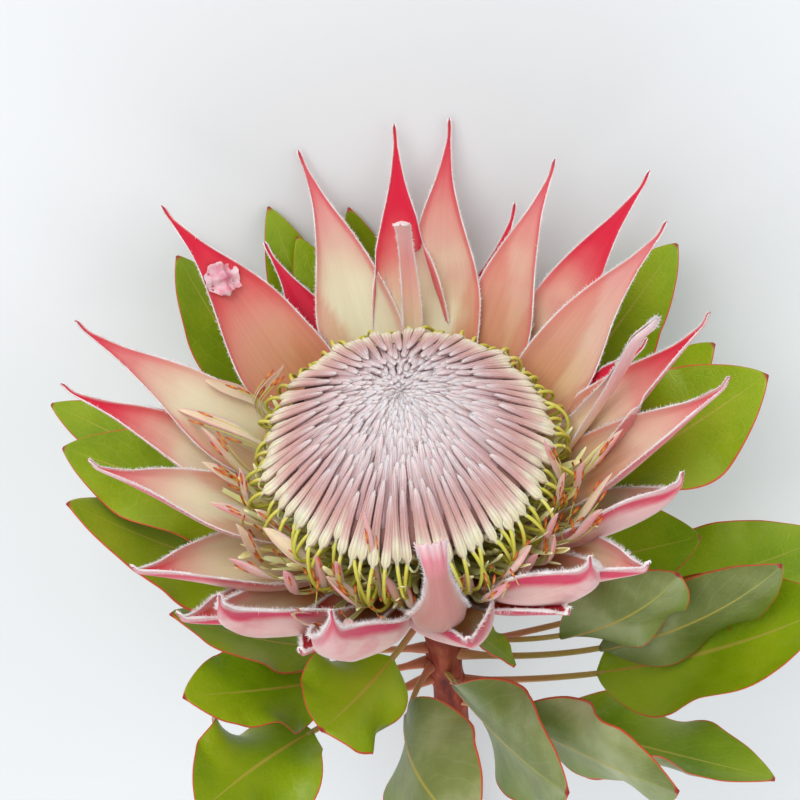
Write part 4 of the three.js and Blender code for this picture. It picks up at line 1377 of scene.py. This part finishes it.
def laid_down():
    cut_end = np.array([stem_centre(-STEM_LENGTH), STEM_RADIUS, -STEM_LENGTH])
    up = unit(np.cross(tip_of("B5") - cut_end, tip_of("B7") - cut_end))
    up = -up if up[1] > 0 else up
    back = -unit(UP - up * up[2])
    return np.array([np.cross(back, up), back, up])


def stem_shift(turn):
    """From the stem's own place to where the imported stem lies."""
    end = ring_of(STEM_RADIUS + CAD_STEM_SWELL, -STEM_LENGTH, CAD_STEM_SIDES)
    end[:, 0] += stem_centre(-STEM_LENGTH)
    end[:, 2] += CUT_SLOPE * end[:, 0]
    top = ring_of(COLLAR_RADIUS + CAD_STEM_SWELL, STEM_TOP, CAD_STEM_SIDES)
    low = (np.vstack([end, top]) @ turn.T).min(0) * MM
    return np.array(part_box("stem")[0]) - low


LAID = laid_down()
SHIFT = stem_shift(LAID)

# Camera of the photograph, in the flower's own frame: elevation above the plane of the bracts,
# roll, distance, and pixels to the millimetre at the point looked at

CAMERA_ELEVATION = math.radians(51)
CAMERA_ROLL = math.radians(8)
CAMERA_DISTANCE = 750
CAMERA_SCALE = 3.45
CAMERA_TARGET = np.array([0, 0, 70.0])
PHOTO_SIZE = 800
SENSOR = 36
PHOTO_CENTRE_RIGHT = 1.5

FLOOR_HALF = 4.0
LIGHTS_AIM = np.array([0, -0.08, 0.08])
WHITE = (1, 1, 1)

# Name, place, size in metres, power in watts and colour
LIGHTS = [
    ("key", (0.5, -1.6, 0.9), 1.5, 21, (1.0, 0.99, 0.97)),
    ("fill", (-1.1, -0.5, 1.0), 1.5, 5, (0.96, 0.98, 1.0)),
    ("back", (0.1, 1.4, 1.1), 1.6, 13, WHITE),
    ("top", (0.7, 0.5, 1.6), 1.4, 3, WHITE),
]
SKY_COLOUR = (0.93, 0.96, 1.0, 1)
SKY_STRENGTH = 0.56


def add_camera():
    back = np.array([0, -math.cos(CAMERA_ELEVATION), math.sin(CAMERA_ELEVATION)])
    up = np.array([0, math.sin(CAMERA_ELEVATION), math.cos(CAMERA_ELEVATION)])
    right = np.array([1.0, 0, 0])
    turned_up = up * math.cos(CAMERA_ROLL) + right * math.sin(CAMERA_ROLL)
    turned_right = right * math.cos(CAMERA_ROLL) - up * math.sin(CAMERA_ROLL)
    data = bpy.data.cameras.new("camera")
    data.sensor_width = SENSOR
    data.lens = CAMERA_SCALE * CAMERA_DISTANCE / PHOTO_SIZE * SENSOR
    data.shift_x = -PHOTO_CENTRE_RIGHT / PHOTO_SIZE
    camera = bpy.data.objects.new("camera", data)
    axes = np.array([turned_right, turned_up, back]) @ LAID.T
    place = (LAID @ (CAMERA_TARGET + back * CAMERA_DISTANCE)) * MM + SHIFT
    matrix = Matrix(axes.T.tolist()).to_4x4()
    matrix.translation = place.tolist()
    camera.matrix_world = matrix
    bpy.context.scene.collection.objects.link(camera)
    bpy.context.scene.camera = camera


def add_floor():
    mesh = bpy.data.meshes.new("floor")
    corners = [(FLOOR_HALF * x, FLOOR_HALF * y, 0) for x, y in ((-1, -1), (1, -1), (1, 1), (-1, 1))]
    mesh.from_pydata(corners, [], [(0, 1, 2, 3)])
    mesh.materials.append(floor_material())
    floor = bpy.data.objects.new("floor", mesh)
    bpy.context.scene.collection.objects.link(floor)


def add_light(name, place, size, power, colour):
    data = bpy.data.lights.new(name, "AREA")
    data.shape = "DISK"
    data.size = size
    data.energy = power
    data.color = colour
    light = bpy.data.objects.new(name, data)
    light.location = place
    light.rotation_mode = "QUATERNION"
    aim = Vector((LIGHTS_AIM - np.array(place)).tolist())
    light.rotation_quaternion = aim.to_track_quat("-Z", "Y")
    bpy.context.scene.collection.objects.link(light)


def add_sky():
    world = bpy.data.worlds.new("world")
    bpy.context.scene.world = world
    world.use_nodes = True
    sky = world.node_tree.nodes["Background"]
    sky.inputs["Color"].default_value = SKY_COLOUR
    sky.inputs["Strength"].default_value = SKY_STRENGTH


add_camera()
add_floor()
for light in LIGHTS:
    add_light(*light)
add_sky()
build_bracts()
rim_beaks = build_florets()
build_styles(rim_beaks)
build_open_florets()
leaf_skin = leaf_material()
for leaf in LEAVES:
    build_leaf(leaf, leaf_skin)
build_stem()
bpy.context.scene.view_settings.view_transform = "Standard"
